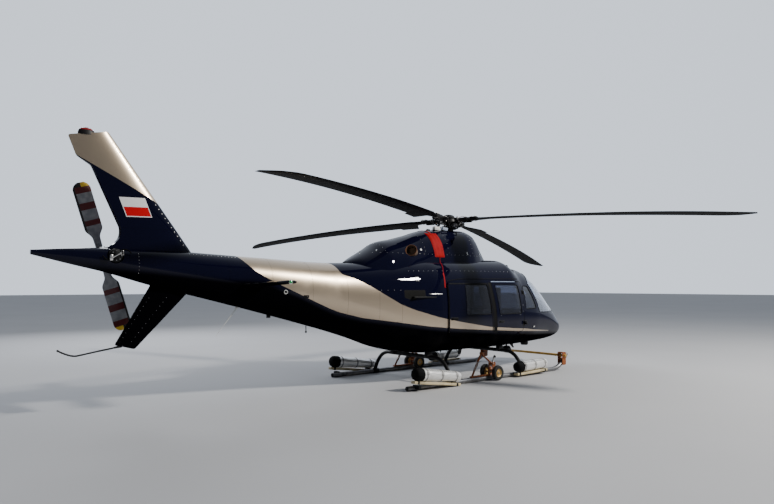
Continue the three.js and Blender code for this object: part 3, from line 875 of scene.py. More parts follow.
    def combine(self, other: "Form", how: Combine) -> "Form":
        """Cuts this form with another closed one, or joins them.

        Args:
            other: The other form.
            how: Whether it is cut away, joined, or only the common space is kept.

        Returns:
            This form.
        """
        objects = []
        for form in (self, other):
            mesh = bpy.data.meshes.new("combine")
            form.bm.to_mesh(mesh)
            objects.append(bpy.data.objects.new("combine", mesh))
            bpy.context.scene.collection.objects.link(objects[-1])
        modifier = objects[0].modifiers.new("combine", "BOOLEAN")
        modifier.operation, modifier.solver, modifier.object = how.value, "EXACT", objects[1]
        graph = bpy.context.evaluated_depsgraph_get()
        result = bpy.data.meshes.new_from_object(objects[0].evaluated_get(graph))
        self.bm.clear()
        self.bm.from_mesh(result)
        meshes = [result, *(o.data for o in objects)]
        for o in objects:
            bpy.data.objects.remove(o)
        for mesh in meshes:
            bpy.data.meshes.remove(mesh)
        bmesh.ops.remove_doubles(self.bm, verts=self.bm.verts, dist=1e-6)
        bmesh.ops.dissolve_degenerate(self.bm, edges=self.bm.edges, dist=1e-6)
        self._find_layer()
        return self

    def cut(self, other: "Form") -> "Form":
        """Cuts another closed form away."""
        return self.combine(other, Combine.CUT)

    def keep(self, other: "Form") -> "Form":
        """Keeps what lies inside another closed form."""
        return self.combine(other, Combine.KEEP_COMMON)

    def slice(self, point: Point, normal: Point) -> "Form":
        """Cuts off what lies beyond a plane, on the side its normal points to, and closes the cut.

        Args:
            point: A point of the plane.
            normal: The plane's direction.

        Returns:
            This form.
        """
        geometry = [*self.bm.verts, *self.bm.edges, *self.bm.faces]
        cut = bmesh.ops.bisect_plane(
            self.bm, geom=geometry, dist=1e-6, plane_co=point, plane_no=normal, clear_outer=True,
        )["geom_cut"]
        edges = [g for g in cut if isinstance(g, bmesh.types.BMEdge)]
        bmesh.ops.holes_fill(self.bm, edges=edges, sides=0)
        return self

    def soften(self, width: float, angle: float = 40.0, segments: int = 2) -> "Form":
        """Bevels every edge that turns by more than an angle in degrees.

        Args:
            width: Width of the bevel.
            angle: The least turn, in degrees.
            segments: Faces across the bevel.

        Returns:
            This form.
        """
        edges = [e for e in self.bm.edges if e.is_manifold and e.calc_face_angle(0) > math.radians(angle)]
        self._bevel(edges, width, segments)
        return self

    def paint_where(self, finish: int, test: Callable[[bmesh.types.BMFace], bool]) -> "Form":
        """Gives a finish to the faces that pass a test.

        Args:
            finish: Index of the finish.
            test: Says whether a face gets it.

        Returns:
            This form.
        """
        for f in self.bm.faces:
            if test(f):
                f.material_index = finish
        return self

    def piece(
        self, name: str, body: str, finishes: Sequence[bpy.types.Material], slot: Slot,
        replaces: Sequence[str] = (), crease: float = 32.0,
    ) -> bpy.types.Object:
        """Finishes the form as an object of the scene.

        Args:
            name: Name of the piece.
            body: The body it rides on.
            finishes: Its materials, in the order of their indices.
            slot: Not used.
            replaces: The frame's nodes that it stands for.
            crease: Edges that turn by more than this many degrees show as sharp.

        Returns:
            The object.
        """
        limit = math.radians(crease)
        for f in self.bm.faces:
            f.smooth = True
        for e in self.bm.edges:
            e.smooth = e.is_manifold and e.calc_face_angle(0) <= limit
        bmesh.ops.translate(self.bm, vec=(MAST_AHEAD, 0, 0), verts=self.bm.verts)
        self.bm.verts.layers.int.remove(self.ring_place)
        mesh = bpy.data.meshes.new(name)
        self.bm.to_mesh(mesh)
        self.bm.free()
        for material in finishes:
            mesh.materials.append(material)
        piece = bpy.data.objects.new(name, mesh)
        bpy.context.scene.collection.objects.link(piece)
        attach(piece, body)
        if replaces:
            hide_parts(*replaces)
        triangles = sum(len(p.vertices) - 2 for p in mesh.polygons)
        LOG.info("%s: %d triangles, on %s", name, triangles, body)
        return piece


# Body surfaces


def bow(value: float, fullness: float) -> float:
    """A full curve's share for a cosine or sine."""
    return math.copysign(abs(value) ** (2 / fullness), value)


class Skin:
    """A surface that is reached by station, height and side."""

    def skin(self, x: float, z: float, side: Side = Side.RIGHT, out: float = 0.0) -> Vector:
        """The point of the skin at a station and height."""
        raise NotImplementedError

    def normal(self, x: float, z: float, side: Side = Side.RIGHT) -> Vector:
        """The direction straight out of the skin at a station and height.

        Args:
            x: Station.
            z: Height.
            side: The side of the body.

        Returns:
            The direction, of length 1.
        """
        d = 0.004
        ahead = self.skin(x + d, z, side) - self.skin(x - d, z, side)
        above = self.skin(x, z + d, side) - self.skin(x, z - d, side)
        return (ahead.cross(above) * -side.sign).normalized()

    def at(self, x: float, z: float, side: Side) -> tuple[Vector, Vector]:
        """The point of the skin at a station and height, with its direction."""
        return self.skin(x, z, side), self.normal(x, z, side)

    def line(
        self, path: Outline, spacing: float, side: Side, out: float = 0.0,
    ) -> tuple[list[Vector], list[Vector]]:
        """Points and directions along a line on the skin.

        Args:
            path: The line's corners as station and height.
            spacing: Distance between points.
            side: The side of the body.
            out: How far outside the skin.

        Returns:
            The points and the skin's direction at each.
        """
        places = []
        for start, end in zip(path, path[1:], strict=False):
            count = max(1, round(math.dist(start, end) / spacing))
            places += [Vector(start).lerp(Vector(end), k / count) for k in range(count)]
        places.append(Vector(path[-1]))
        points = [self.skin(x, z, side, out) for x, z in places]
        return points, [self.normal(x, z, side) for x, z in places]

    def row(self, path: Outline, spacing: float, side: Side) -> Iterable[tuple[Vector, Vector]]:
        """Each point of a line on the skin with the skin's direction."""
        return zip(*self.line(path, spacing, side), strict=True)


class FinSurface(Skin):
    """A fin's skin through its levels."""

    def __init__(self, levels: Sequence[Sequence[float]]) -> None:
        """Reads the levels."""
        self.table = np.array(levels, float).T * MM

    def level(self, height: float) -> tuple[float, float, float]:
        """Leading edge, trailing edge and thickness at a height.

        Args:
            height: Its height.

        Returns:
            The three values.
        """
        heights, *columns = self.table
        lead, trail, thickness = (float(np.interp(height, heights, column)) for column in columns)
        return lead, trail, thickness

    def skin(self, x: float, z: float, side: Side = Side.RIGHT, out: float = 0.0) -> Vector:
        """The point of the skin at a station and height.

        Args:
            x: Station.
            z: Height.
            side: The side of the body.
            out: How far outside the skin.

        Returns:
            The point.
        """
        lead, trail, thickness = self.level(z)
        share = min(max((lead - x) / (lead - trail), 0.0), 1.0)
        return Vector((x, side.sign * (foil_height(share, thickness) + out), z))

    def solid(self, outline: Outline) -> Form:
        """The fin inside an outline.

        Args:
            outline: The fin's corners in mm.

        Returns:
            The closed fin.
        """
        low, high = self.table[0][0], self.table[0][-1]
        rings = []
        for height in np.linspace(low, high, 2 + int((high - low) / 0.045)):
            section = foil_section(*self.level(height), 18)
            rings.append([Vector((x, y, height)) for x, y in section])
        return Form().loft(rings).keep(Form().slab(rounded(in_metres(outline), 0.03, 5), -0.3, 0.3))


class HullSurface(Skin):
    """The smooth body skin through the table of sections."""

    def __init__(self) -> None:
        """Reads the table."""
        self.table = SmoothTable(HULL_SECTIONS, (MM, MM, MM, MM, MM, 1))

    def ring(self, x: float, out: float = 0.0, roof: float | None = None, count: int = 96) -> list[Vector]:
        """One section's points.

        Args:
            x: Station.
            out: How far outside the skin.
            roof: How far above the skin at the top, if it differs.
            count: Points round the section.

        Returns:
            The points, from port over the top.
        """
        top, bottom, half, widest, fullness = self.table(x)
        above = top + (out if roof is None else roof) - widest
        below = widest - bottom + out
        points = []
        for i in range(count):
            turn = (i + 0.5) * 2 * math.pi / count
            c, s = math.cos(turn), math.sin(turn)
            rise = above if s > 0 else below
            points.append(Vector((x, (half + out) * bow(c, fullness), widest + rise * bow(s, fullness))))
        return points

    def skin(self, x: float, z: float, side: Side = Side.RIGHT, out: float = 0.0) -> Vector:
        """The point of the skin at a station and height.

        Args:
            x: Station.
            z: Height.
            side: The side of the body.
            out: How far outside the skin.

        Returns:
            The point.
        """
        top, bottom, half, widest, fullness = self.table(x)
        rise = (top - widest if z > widest else widest - bottom) + out
        share = min(abs(z - widest) / rise, 1.0)
        return Vector((x, side.sign * (half + out) * (1 - share**fullness) ** (1 / fullness), z))

    def over(self, x: float, y: float, out: float = 0.0, up: bool = True) -> Vector:
        """The point of the roof or the belly at a station and distance to port.

        Args:
            x: Station.
            y: Distance to port.
            out: How far outside the skin.
            up: Whether the roof is meant, not the belly.

        Returns:
            The point.
        """
        top, bottom, half, widest, fullness = self.table(x)
        rise = (top - widest if up else bottom - widest) + (out if up else -out)
        share = min(abs(y) / (half + out), 1.0)
        return Vector((x, y, widest + rise * (1 - share**fullness) ** (1 / fullness)))

    def share(self, point: Point) -> float:
        """How far out a point lies: 1 on the skin, less inside.

        Args:
            point: A point in or on the body.

        Returns:
            1 on the skin, less inside.
        """
        top, bottom, half, widest, fullness = self.table(point[0])
        rise = top - widest if point[2] > widest else widest - bottom
        across, up = abs(point[1] / half), abs((point[2] - widest) / rise)
        return (across**fullness + up**fullness) ** (1 / fullness)

    def stations(self, start: float, end: float, spacing: float = 0.06) -> list[float]:
        """Stations from one place to another, closer together in the nose.

        Args:
            start: First station.
            end: Last station.
            spacing: Distance between stations behind the doors.

        Returns:
            The stations.
        """
        stations, x = [start], start
        while x < end - 1e-6:
            x = min(x + spacing * (0.35 if x > 2.9 else 0.6 if x > 1.0 else 1.0), end)
            stations.append(x)
        return stations

    def solid(
        self, start: float, end: float, out: float = 0.0, roof: float | None = None, count: int = 96,
    ) -> Form:
        """A closed length of the body."""
        return Form().loft([self.ring(x, out, roof, count) for x in self.stations(start, end)])

    def shell(self, start: float, end: float, outer: float, inner: float, count: int = 96) -> Form:
        """A closed shell between two distances from the skin.

        Args:
            start: First station.
            end: Last station.
            outer: The outer face's distance outside the skin.
            inner: The inner face's distance outside the skin.
            count: Points round a section.

        Returns:
            The shell.
        """
        stations = self.stations(start, end, 0.04)
        rings = [self.ring(x, outer, count=count) for x in stations]
        rings += [self.ring(x, inner, count=count) for x in reversed(stations)]
        return Form().loft(rings, closed=True)


class CowlSurface(Skin):
    """The smooth skin over engine and gearbox."""

    def __init__(self) -> None:
        """Reads the table."""
        self.table = SmoothTable(COWL_SECTIONS, (MM, MM, MM, 1))

    def ring(self, x: float, out: float = 0.0, count: int = 80) -> list[Vector]:
        """One section's points.

        Args:
            x: Station.
            out: How far outside the skin.
            count: Points round a section.

        Returns:
            The points.
        """
        top, half, fullness = self.table(x)
        above = top + out - COWL_BASE
        points = []
        for i in range(count):
            turn = (i + 0.5) * 2 * math.pi / count
            c, s = math.cos(turn), math.sin(turn)
            rise = above if s > 0 else 0.1
            points.append(Vector((x, (half + out) * bow(c, fullness), COWL_BASE + rise * bow(s, fullness))))
        return points

    def skin(self, x: float, z: float, side: Side = Side.RIGHT, out: float = 0.0) -> Vector:
        """The point of the skin at a station and height.

        Args:
            x: Station.
            z: Height.
            side: The side of the body.
            out: How far outside the skin.

        Returns:
            The point.
        """
        top, half, fullness = self.table(x)
        share = min(abs(z - COWL_BASE) / (top + out - COWL_BASE), 1.0)
        return Vector((x, side.sign * (half + out) * (1 - share**fullness) ** (1 / fullness), z))

    def stations(self, start: float, end: float) -> list[float]:
        """Stations from one place to another."""
        count = max(2, round((end - start) / 0.045))
        return [start + (end - start) * k / count for k in range(count + 1)]

    def solid(self, start: float, end: float, out: float = 0.0) -> Form:
        """A closed length of the cowl."""
        return Form().loft([self.ring(x, out) for x in self.stations(start, end)])


HULL = HullSurface()
COWL = CowlSurface()
UPPER_FIN = FinSurface(FIN_UPPER_LEVELS)
LOWER_FIN = FinSurface(FIN_LOWER_LEVELS)


def girth(skin: Skin, x: float, spacing: float, low: float, side: Side) -> Iterable[tuple[Vector, Vector]]:
    """Points and directions up one side of a section, evenly spaced along it.

    Args:
        skin: The hull's or the cowl's surface.
        x: Station of the section.
        spacing: Distance between points.
        low: Height where they start.
        side: The side of the body.

    Yields:
        Each point and the skin's direction there.
    """
    ring = skin.ring(x, count=240)
    quarter = len(ring) // 4
    start, way = (-quarter, 1) if side is Side.LEFT else (3 * quarter - 1, -1)
    points = [ring[(start + way * k) % len(ring)] for k in range(2 * quarter)]
    walked = spacing / 2
    for before, point in zip(points, points[1:], strict=False):
        step = point - before
        walked += step.length
        if walked >= spacing and point.z > low:
            walked = 0.0
            yield point, (Vector((1, 0, 0)).cross(step) * -side.sign).normalized()


# Shader graphs


class Wire:
    """A socket of a shader graph on which Python's operators add Math nodes."""

    def __init__(self, graph: "Graph", socket: bpy.types.NodeSocket) -> None:
        """Wraps one output socket."""
        self.graph, self.socket = graph, socket

    def _math(self, operation: str, *others: "Wire | float", turned: bool = False) -> "Wire":
        """Adds one Math node.

        Args:
            operation: The node's operation.
            others: What follows this in the operation.
            turned: Whether the order is turned round.

        Returns:
            The node's output.
        """
        values = [self, *others]
        if turned:
            values.reverse()
        return self.graph.node("ShaderNodeMath", {"operation": operation}, dict(enumerate(values)))

    def __add__(self, other: "Wire | float") -> "Wire":
        """Sum."""
        return self._math("ADD", other)

    def __radd__(self, other: float) -> "Wire":
        """Sum with a number on the left."""
        return self._math("ADD", other)

    def __sub__(self, other: "Wire | float") -> "Wire":
        """Difference."""
        return self._math("SUBTRACT", other)

    def __rsub__(self, other: float) -> "Wire":
        """Difference from a number."""
        return self._math("SUBTRACT", other, turned=True)

    def __mul__(self, other: "Wire | float") -> "Wire":
        """Product."""
        return self._math("MULTIPLY", other)

    def __rmul__(self, other: float) -> "Wire":
        """Product with a number on the left."""
        return self._math("MULTIPLY", other)

    def __truediv__(self, other: "Wire | float") -> "Wire":
        """Quotient."""
        return self._math("DIVIDE", other)

    def __pow__(self, other: float) -> "Wire":
        """Power."""
        return self._math("POWER", other)

    def __gt__(self, other: "Wire | float") -> "Wire":
        """1 where this is more."""
        return self._math("GREATER_THAN", other)

    def __lt__(self, other: "Wire | float") -> "Wire":
        """1 where this is less."""
        return self._math("LESS_THAN", other)

    def __abs__(self) -> "Wire":
        """Size without the sign."""
        return self._math("ABSOLUTE")

    def near(self, value: float, width: float) -> "Wire":
        """1 where this lies within a width of a value."""
        return abs(self - value) < width

    def between(self, low: float, high: float) -> "Wire":
        """A soft step from 0 at low to 1 at high."""
        settings = {"interpolation_type": "SMOOTHSTEP"}
        return self.graph.node("ShaderNodeMapRange", settings, {0: self, 1: low, 2: high, 3: 0.0, 4: 1.0})

    def either(self, other: "Wire") -> "Wire":
        """The greater of two masks."""
        return self._math("MAXIMUM", other)


class Graph:
    """A material's shader graph."""

    def __init__(self, name: str) -> None:
        """Starts a material with its one surface shader.

        Args:
            name: The material's name.
        """
        self.material = bpy.data.materials.new(name)
        self.material.use_nodes = True
        tree = self.material.node_tree
        tree.nodes.clear()
        self.nodes, self.links = tree.nodes, tree.links
        self.surface = self.nodes.new("ShaderNodeBsdfPrincipled")
        output = self.nodes.new("ShaderNodeOutputMaterial")
        self.links.new(self.surface.outputs[0], output.inputs["Surface"])
        place = self.nodes.new("ShaderNodeTexCoord")
        self.place = Wire(self, place.outputs["Object"])
        split = self.nodes.new("ShaderNodeSeparateXYZ")
        self.links.new(place.outputs["Object"], split.inputs[0])
        self.x = Wire(self, split.outputs[0]) - MAST_AHEAD
        self.y = Wire(self, split.outputs[1])
        self.z = Wire(self, split.outputs[2])

    def _feed(self, socket: bpy.types.NodeSocket, value: "Wire | float | Sequence[float]") -> None:
        """Links or sets one input.

        Args:
            socket: The input.
            value: A wire, a number or a colour.
        """
        if isinstance(value, Wire):
            self.links.new(value.socket, socket)
        else:
            socket.default_value = value

    def node(
        self, kind: str, settings: dict[str, object], values: dict[int | str, object], output: int | str = 0,
    ) -> Wire:
        """Adds one node.

        Args:
            kind: The node's type.
            settings: Its own settings; "stops" are a ramp's positions and colours, "points" a curve's.
            values: What goes into its sockets.
            output: Which of its sockets is returned.

        Returns:
            The output socket.
        """
        node = self.nodes.new(kind)
        for key, value in settings.items():
            if key == "stops":
                ramp = node.color_ramp
                while len(ramp.elements) < len(value):
                    ramp.elements.new(1.0)
                for stop, (position, colour) in zip(ramp.elements, value, strict=True):
                    stop.position, stop.color = position, (*colour, 1.0)
            elif key == "points":
                curve = node.mapping.curves[0]
                while len(curve.points) < len(value):
                    curve.points.new(0.5, 0.5)
                for point, (across, up) in zip(curve.points, value, strict=True):
                    point.location, point.handle_type = (across, up), "VECTOR"
                node.mapping.update()
            else:
                setattr(node, key, value)
        for key, value in values.items():
            self._feed(node.inputs[key], value)
        return Wire(self, node.outputs[output])

    def noise(
        self, scale: float, detail: float = 2.0, rough: float = 0.5, stretch: Point = (1, 1, 1),
    ) -> Wire:
        """Noise from 0 to 1 about 0.5, stretched along the axes.

        Args:
            scale: Its scale.
            detail: How many finer layers it has.
            rough: How strong the finer layers are.
            stretch: The factor of each axis.

        Returns:
            The noise.
        """
        where = self.node("ShaderNodeMapping", {}, {"Vector": self.place, "Scale": tuple(stretch)})
        values = {"Vector": where, "Scale": scale, "Detail": detail, "Roughness": rough}
        return self.node("ShaderNodeTexNoise", {}, values, "Fac")

    def mix(self, first: "Wire | Point", second: "Wire | Point", share: "Wire | float") -> Wire:
        """A colour between two colours.

        Args:
            first: The first colour.
            second: The second colour.
            share: How much of the second.

        Returns:
            The colour.
        """
        first, second = (c if isinstance(c, Wire) else (*c, 1.0) for c in (first, second))
        settings = {"data_type": "RGBA", "clamp_factor": True}
        return self.node("ShaderNodeMix", settings, {0: share, 6: first, 7: second}, 2)

    def edge(self, table: Sequence[tuple[float, float]]) -> Wire:
        """A height that follows a table along x.

        Args:
            table: Stations and heights.

        Returns:
            The height at each station.
        """
        low, high = table[0][0], table[-1][0]
        points = [((x - low) / (high - low), z / 4) for x, z in table]
        share = (self.x - low) / (high - low)
        return self.node("ShaderNodeFloatCurve", {"points": points}, {"Factor": 1.0, "Value": share}) * 4.0

    def bump(self, height: Wire, distance: float, strength: float = 1.0) -> None:
        """Gives the surface a relief."""
        values = {"Height": height, "Distance": distance, "Strength": strength}
        self._feed(self.surface.inputs["Normal"], self.node("ShaderNodeBump", {}, values))

    def finish(self, **sockets: "Wire | float | Point") -> bpy.types.Material:
        """Sets the surface's sockets, whose names have _ for spaces, and returns the material.

        Args:
            sockets: What goes into each input.

        Returns:
            The material.
        """
        for name, value in sockets.items():
            socket = self.surface.inputs[name.replace("_", " ")]
            colour = not isinstance(value, (Wire, int, float)) and len(value) == 3
            self._feed(socket, (*value, 1.0) if colour else value)
        return self.material


# Finishes


@dataclass(frozen=True)
class PanelLine:
    """A joint between skin panels: its fixed axis, where it lies on it, and from where to where it runs."""

    axis: str
    at: float
    low: float
    high: float


PANEL_LINES = tuple(PanelLine(*row) for row in (
    ("x", -5.98, 0.0, 2.28), ("x", -4.9, 0.0, 2.4), ("x", -4.2, 0.0, 2.4), ("x", -3.51, 0.0, 2.4),
    ("x", -2.87, 0.0, 2.3), ("x", -1.95, 2.3, 3.0), ("x", -1.02, 2.3, 3.0), ("x", -0.44, 2.3, 3.0),
    ("x", 0.25, 2.35, 3.0), ("x", -2.28, 1.13, 1.66), ("x", -1.84, 1.13, 1.66), ("z", 1.13, -2.28, -1.84),
    ("z", 1.66, -2.28, -1.84), ("z", 2.36, -2.45, 0.95), ("z", 2.62, -1.95, -1.02), ("x", 2.72, 0.0, 1.14),
    ("x", 1.6, 1.86, 2.3), ("z", 2.56, -6.8, -5.3), ("z", 0.64, -0.95, 2.72), ("z", 3.42, -6.98, -6.76),
))


class Finish:
    """What a surface is made of or coated with."""

    def material(self) -> bpy.types.Material:
        """Builds the material."""
        raise NotImplementedError


@dataclass(frozen=True)
class BodyPaint(Finish):
    """Gloss navy paint with the warm metallic band, the light fin top, the two-colour panel and near-black
    painted shade below.
    """

    navy: Point = (0.0026, 0.0029, 0.012)
    # painted shade: the near-black colour of the lower side
    black: Point = (0.0012, 0.0012, 0.002)
    metallic: Point = (0.5, 0.405, 0.3)
    glint: Point = (0.8, 0.72, 0.6)
    white: Point = (0.72, 0.72, 0.72)
    red: Point = (0.46, 0.004, 0.008)
    line_width: float = 0.0018

    def material(self) -> bpy.types.Material:
        """Builds the material.

        Returns:
            The material.
        """
        g = Graph("body_paint")
        band = (g.z > g.edge(BAND_BOTTOM)) * (g.z < g.edge(BAND_TOP)).either(g.x < -3.06)
        band = band * (g.x > -4.72) * (g.x < 2.64)
        fin_top = (g.z > (-0.5245 * (g.x + 6.862) + 3.439)) * (g.x < -5.6) * (g.z > 2.9)
        warm = band.either(fin_top)
        # Painted shade: below the shade edge the navy is darkened to nearly black, and the coat is left off
        # there
        dark = g.edge(SHADE_EDGE)
        lower = 1.0 - (g.z - dark).between(-0.1, 0.02)
        base = g.mix(g.mix(self.navy, self.black, lower), self.metallic, warm)
        panel_x, panel_top = 6.435, 2.976
        lean = (g.x + panel_x) + (g.z - panel_top) * 0.39
        tall = g.z - 0.03 * (g.x + panel_x)
        frame = (lean > 0.0) * (lean < 0.356) * (tall > 2.707) * (tall < 2.978)
        inner = (lean > 0.01) * (lean < 0.346) * (tall > 2.719) * (tall < 2.846)
        on_fin = abs(g.y) < 0.2
        base = g.mix(base, self.white, frame * on_fin)
        base = g.mix(base, self.red, inner * on_fin)
        seam = g.x.near(50.0, 1.0)
        for line in PANEL_LINES:
            fixed, free = (g.x, g.z) if line.axis == "x" else (g.z, g.x)
            seam = seam.either(fixed.near(line.at, self.line_width) * (free > line.low) * (free < line.high))
        grime = g.noise(2.2, 6, 0.6).between(0.45, 0.75)
        low = 1.0 - g.z.between(0.5, 1.2)
        base = g.mix(base, (0.07, 0.065, 0.06), grime * low * 0.1)
        soot = g.noise(
            3.0, 5, 0.6, (0.4, 1.5, 1.5),
        ).between(0.5, 0.8) * (g.x < -1.3) * (g.z > 2.2) * (g.x > -3.2)
        base = g.mix(base, (0.004, 0.004, 0.004), soot * 0.6)
        flake = g.noise(900, 2).between(0.55, 0.8)
        base = g.mix(base, self.glint, warm * flake * 0.2)
        base = g.mix(base, (0.001, 0.001, 0.001), seam * 0.65)
        g.bump(g.noise(90, 2) * 0.02 + g.noise(1.6, 1) - seam * 0.1, 0.012, 0.35)
        return g.finish(
            Base_Color=base, Metallic=warm * 0.85, Roughness=warm * 0.06 + 0.22 + grime * 0.08 + soot * 0.15,
            Coat_Weight=(1.0 - lower) * 0.6, Coat_IOR=1.42, Coat_Roughness=0.02, Specular_IOR_Level=0.0,
        )


@dataclass(frozen=True)
class Paint(Finish):
    """Plain worn paint on metal."""

    name: str
    colour: Point
    roughness: float = 0.45
    metallic: float = 0.0
    worn: Point = (0.28, 0.27, 0.26)
    wear: float = 0.35
    coat: float = 0.0
    shine: float = 0.5

    def material(self) -> bpy.types.Material:
        """Builds the material.

        Returns:
            The material.
        """
        g = Graph(self.name)
        blotch = g.noise(7, 6, 0.62)
        scuff = g.noise(26, 8, 0.7, (1, 2.5, 1)).between(0.6, 0.72) * self.wear
        darker = tuple(c * 0.62 for c in self.colour)
        base = g.mix(g.mix(darker, self.colour, blotch.between(0.3, 0.6)), self.worn, scuff)
        g.bump(g.noise(160, 3) * 0.4 + blotch, 0.0015, 0.35)
        return g.finish(
            Base_Color=base, Roughness=blotch * 0.18 + self.roughness - scuff * 0.1, Metallic=self.metallic,
            Coat_Weight=self.coat, Coat_Roughness=0.08, Specular_IOR_Level=self.shine,
        )


@dataclass(frozen=True)
class Metal(Finish):
    """Bare metal with brushed grain and heat or weather stain."""

    name: str
    colour: Point
    stain: Point = (0.1, 0.075, 0.055)
    roughness: float = 0.32
    stained: float = 0.5

    def material(self) -> bpy.types.Material:
        """Builds the material.

        Returns:
            The material.
        """
        g = Graph(self.name)
        blotch = g.noise(9, 5, 0.6).between(0.42, 0.68) * self.stained
        grain = g.noise(420, 2, 0.5, (1, 1, 0.1))
        g.bump(grain, 0.0004, 0.3)
        return g.finish(
            Base_Color=g.mix(self.colour, self.stain, blotch),
            Roughness=grain * 0.16 + blotch * 0.3 + self.roughness,
            Metallic=1.0 - blotch * 0.5,
        )


@dataclass(frozen=True)
class BladePaint(Finish):
    """Matt black paint of the main blades, in two blacks with random pale specks."""

    def material(self) -> bpy.types.Material:
        """Builds the material.

        Returns:
            The material.
        """
        g = Graph("blade_black")
        cloud = g.noise(3.5, 5, 0.6)
        speck = g.noise(140, 4, 0.7).between(0.68, 0.78)
        base = g.mix((0.002, 0.002, 0.0024), (0.0065, 0.0065, 0.0078), cloud.between(0.35, 0.7))
        g.bump(g.noise(300, 2), 0.0005, 0.3)
        return g.finish(
            Base_Color=g.mix(base, (0.05, 0.05, 0.05), speck * 0.2), Roughness=cloud * 0.2 + 0.5,
            Specular_IOR_Level=0.05,
        )


@dataclass(frozen=True)
class TailBladePaint(Finish):
    """Grey tail blades with dark red bands, a black leading side and a yellow tip corner.

    The pattern reads two numbers that each blade carries: how far out and how far across it is.
    """

    grey: Point = (0.2, 0.21, 0.23)
    red: Point = (0.085, 0.008, 0.01)
    black: Point = (0.01, 0.01, 0.011)
    yellow: Point = (0.72, 0.48, 0.03)

    def material(self) -> bpy.types.Material:
        """Builds the material.

        Returns:
            The material.
        """
        g = Graph("blade_grey")
        out = g.node("ShaderNodeAttribute", {"attribute_name": "out"}, {}, "Fac")
        across = g.node("ShaderNodeAttribute", {"attribute_name": "across"}, {}, "Fac")
        base = g.mix(self.grey, (0.3, 0.31, 0.33), g.noise(14, 5).between(0.35, 0.7))
        for low, high in ((0.43, 0.5), (0.64, 0.73), (0.86, 0.94)):
            base = g.mix(base, self.red, (out > low) * (out < high))
        base = g.mix(base, self.black, (across > 0.88).either((out > 0.94) * (across > 0.5)))
        base = g.mix(base, self.yellow, (out > 0.94) * (across < 0.5))
        chips = g.noise(60, 6, 0.7).between(0.66, 0.74)
        g.bump(chips, 0.0006, 0.4)
        return g.finish(Base_Color=g.mix(base, (0.4, 0.4, 0.4), chips * 0.5), Roughness=0.38 + chips * 0.2)


@dataclass(frozen=True)
class Glass(Finish):
    """Tinted acrylic pane."""

    name: str = "cabin_glass"
    tint: Point = (0.12, 0.13, 0.18)

    def material(self) -> bpy.types.Material:
        """Builds the material.

        Returns:
            The material.
        """
        g = Graph(self.name)
        haze = g.noise(5, 4).between(0.5, 0.8)
        streak = g.noise(2.5, 3, 0.5, (1, 1, 0.25)).between(0.55, 0.8)
        g.bump(g.noise(3.0, 1), 0.003, 0.1)
        return g.finish(
            Base_Color=g.mix(self.tint, tuple(c * 1.5 for c in self.tint), streak * 0.25),
            Roughness=haze * 0.05 + 0.012, Transmission_Weight=0.92, IOR=1.46, Coat_Weight=0.25,
            Coat_Roughness=0.02,
        )


@dataclass(frozen=True)
class Cloth(Finish):
    """Coated woven cloth with creases and dirt."""

    name: str
    colour: Point
    dirt: Point = (0.2, 0.18, 0.15)
    roughness: float = 0.55
    sheen: float = 0.15
    thread: float = 0.0022
    metallic: float = 0.0
    shine: float = 0.5

    def material(self) -> bpy.types.Material:
        """Builds the material.

        Returns:
            The material.
        """
        g = Graph(self.name)
        size = 1 / self.thread
        weave = {"Vector": g.place, "Scale": size / 2, "Distortion": 0.4}
        bands = [{"wave_type": "BANDS", "bands_direction": way} for way in "XZ"]
        warp, weft = (g.node("ShaderNodeTexWave", settings, weave, "Fac") for settings in bands)
        crease = g.noise(5.5, 5, 0.55, (0.5, 1.4, 1.4))
        fold = abs(crease - 0.5) * 2.0
        dirt = g.noise(3.4, 7, 0.65).between(0.48, 0.75) * 0.45
        lighter = tuple(min(c * 1.12, 1.0) for c in self.colour)
        base = g.mix(g.mix(self.colour, lighter, warp * weft), self.dirt, dirt)
        g.bump(warp * 0.03 + weft * 0.03 + (1.0 - fold) * 1.0, 0.006, 0.5)
        return g.finish(
            Base_Color=base, Roughness=dirt * 0.3 + self.roughness, Sheen_Weight=self.sheen,
            Sheen_Roughness=0.5,
            Metallic=self.metallic, Specular_IOR_Level=self.shine,
        )


@dataclass(frozen=True)
class Leather(Finish):
    """Sewn leather with grain."""

    name: str = "seat_leather"
    colour: Point = (0.15, 0.13, 0.105)

    def material(self) -> bpy.types.Material:
        """Builds the material.

        Returns:
            The material.
        """
        g = Graph(self.name)
        grain = g.node(
            "ShaderNodeTexVoronoi", {"feature": "DISTANCE_TO_EDGE"}, {"Vector": g.place, "Scale": 260.0},
        )
        rub = g.noise(4, 4).between(0.4, 0.7)
        darker = tuple(c * 0.7 for c in self.colour)
        g.bump(grain.between(0.0, 0.15), 0.0012, 0.6)
        return g.finish(Base_Color=g.mix(darker, self.colour, rub), Roughness=rub * 0.15 + 0.42)


@dataclass(frozen=True)
class Rubber(Finish):
    """Tyre rubber, or a black seal."""

    name: str = "tyre_rubber"
    colour: Point = (0.012, 0.012, 0.012)
    dust: Point = (0.1, 0.09, 0.075)
    shine: float = 0.4

    def material(self) -> bpy.types.Material:
        """Builds the material.

        Returns:
            The material.
        """
        g = Graph(self.name)
        dust = g.noise(12, 6, 0.65).between(0.48, 0.7)
        g.bump(g.noise(260, 3), 0.0008, 0.4)
        return g.finish(
            Base_Color=g.mix(self.colour, self.dust, dust * 0.35), Roughness=dust * 0.15 + 0.68,
            Specular_IOR_Level=self.shine,
        )


@dataclass(frozen=True)
class Lens(Finish):
    """A coloured lamp lens."""

    name: str
    colour: Point

    def material(self) -> bpy.types.Material:
        """Builds the material.

        Returns:
            The material.
        """
        g = Graph(self.name)
        rings = g.node("ShaderNodeTexWave", {"wave_type": "RINGS"}, {"Vector": g.place, "Scale": 60.0}, "Fac")
        g.bump(rings, 0.001, 0.4)
        darker = tuple(c * 0.5 for c in self.colour)
        return g.finish(
            Base_Color=g.mix(darker, self.colour, rings), Roughness=rings * 0.05 + 0.06, Coat_Weight=0.8,
        )


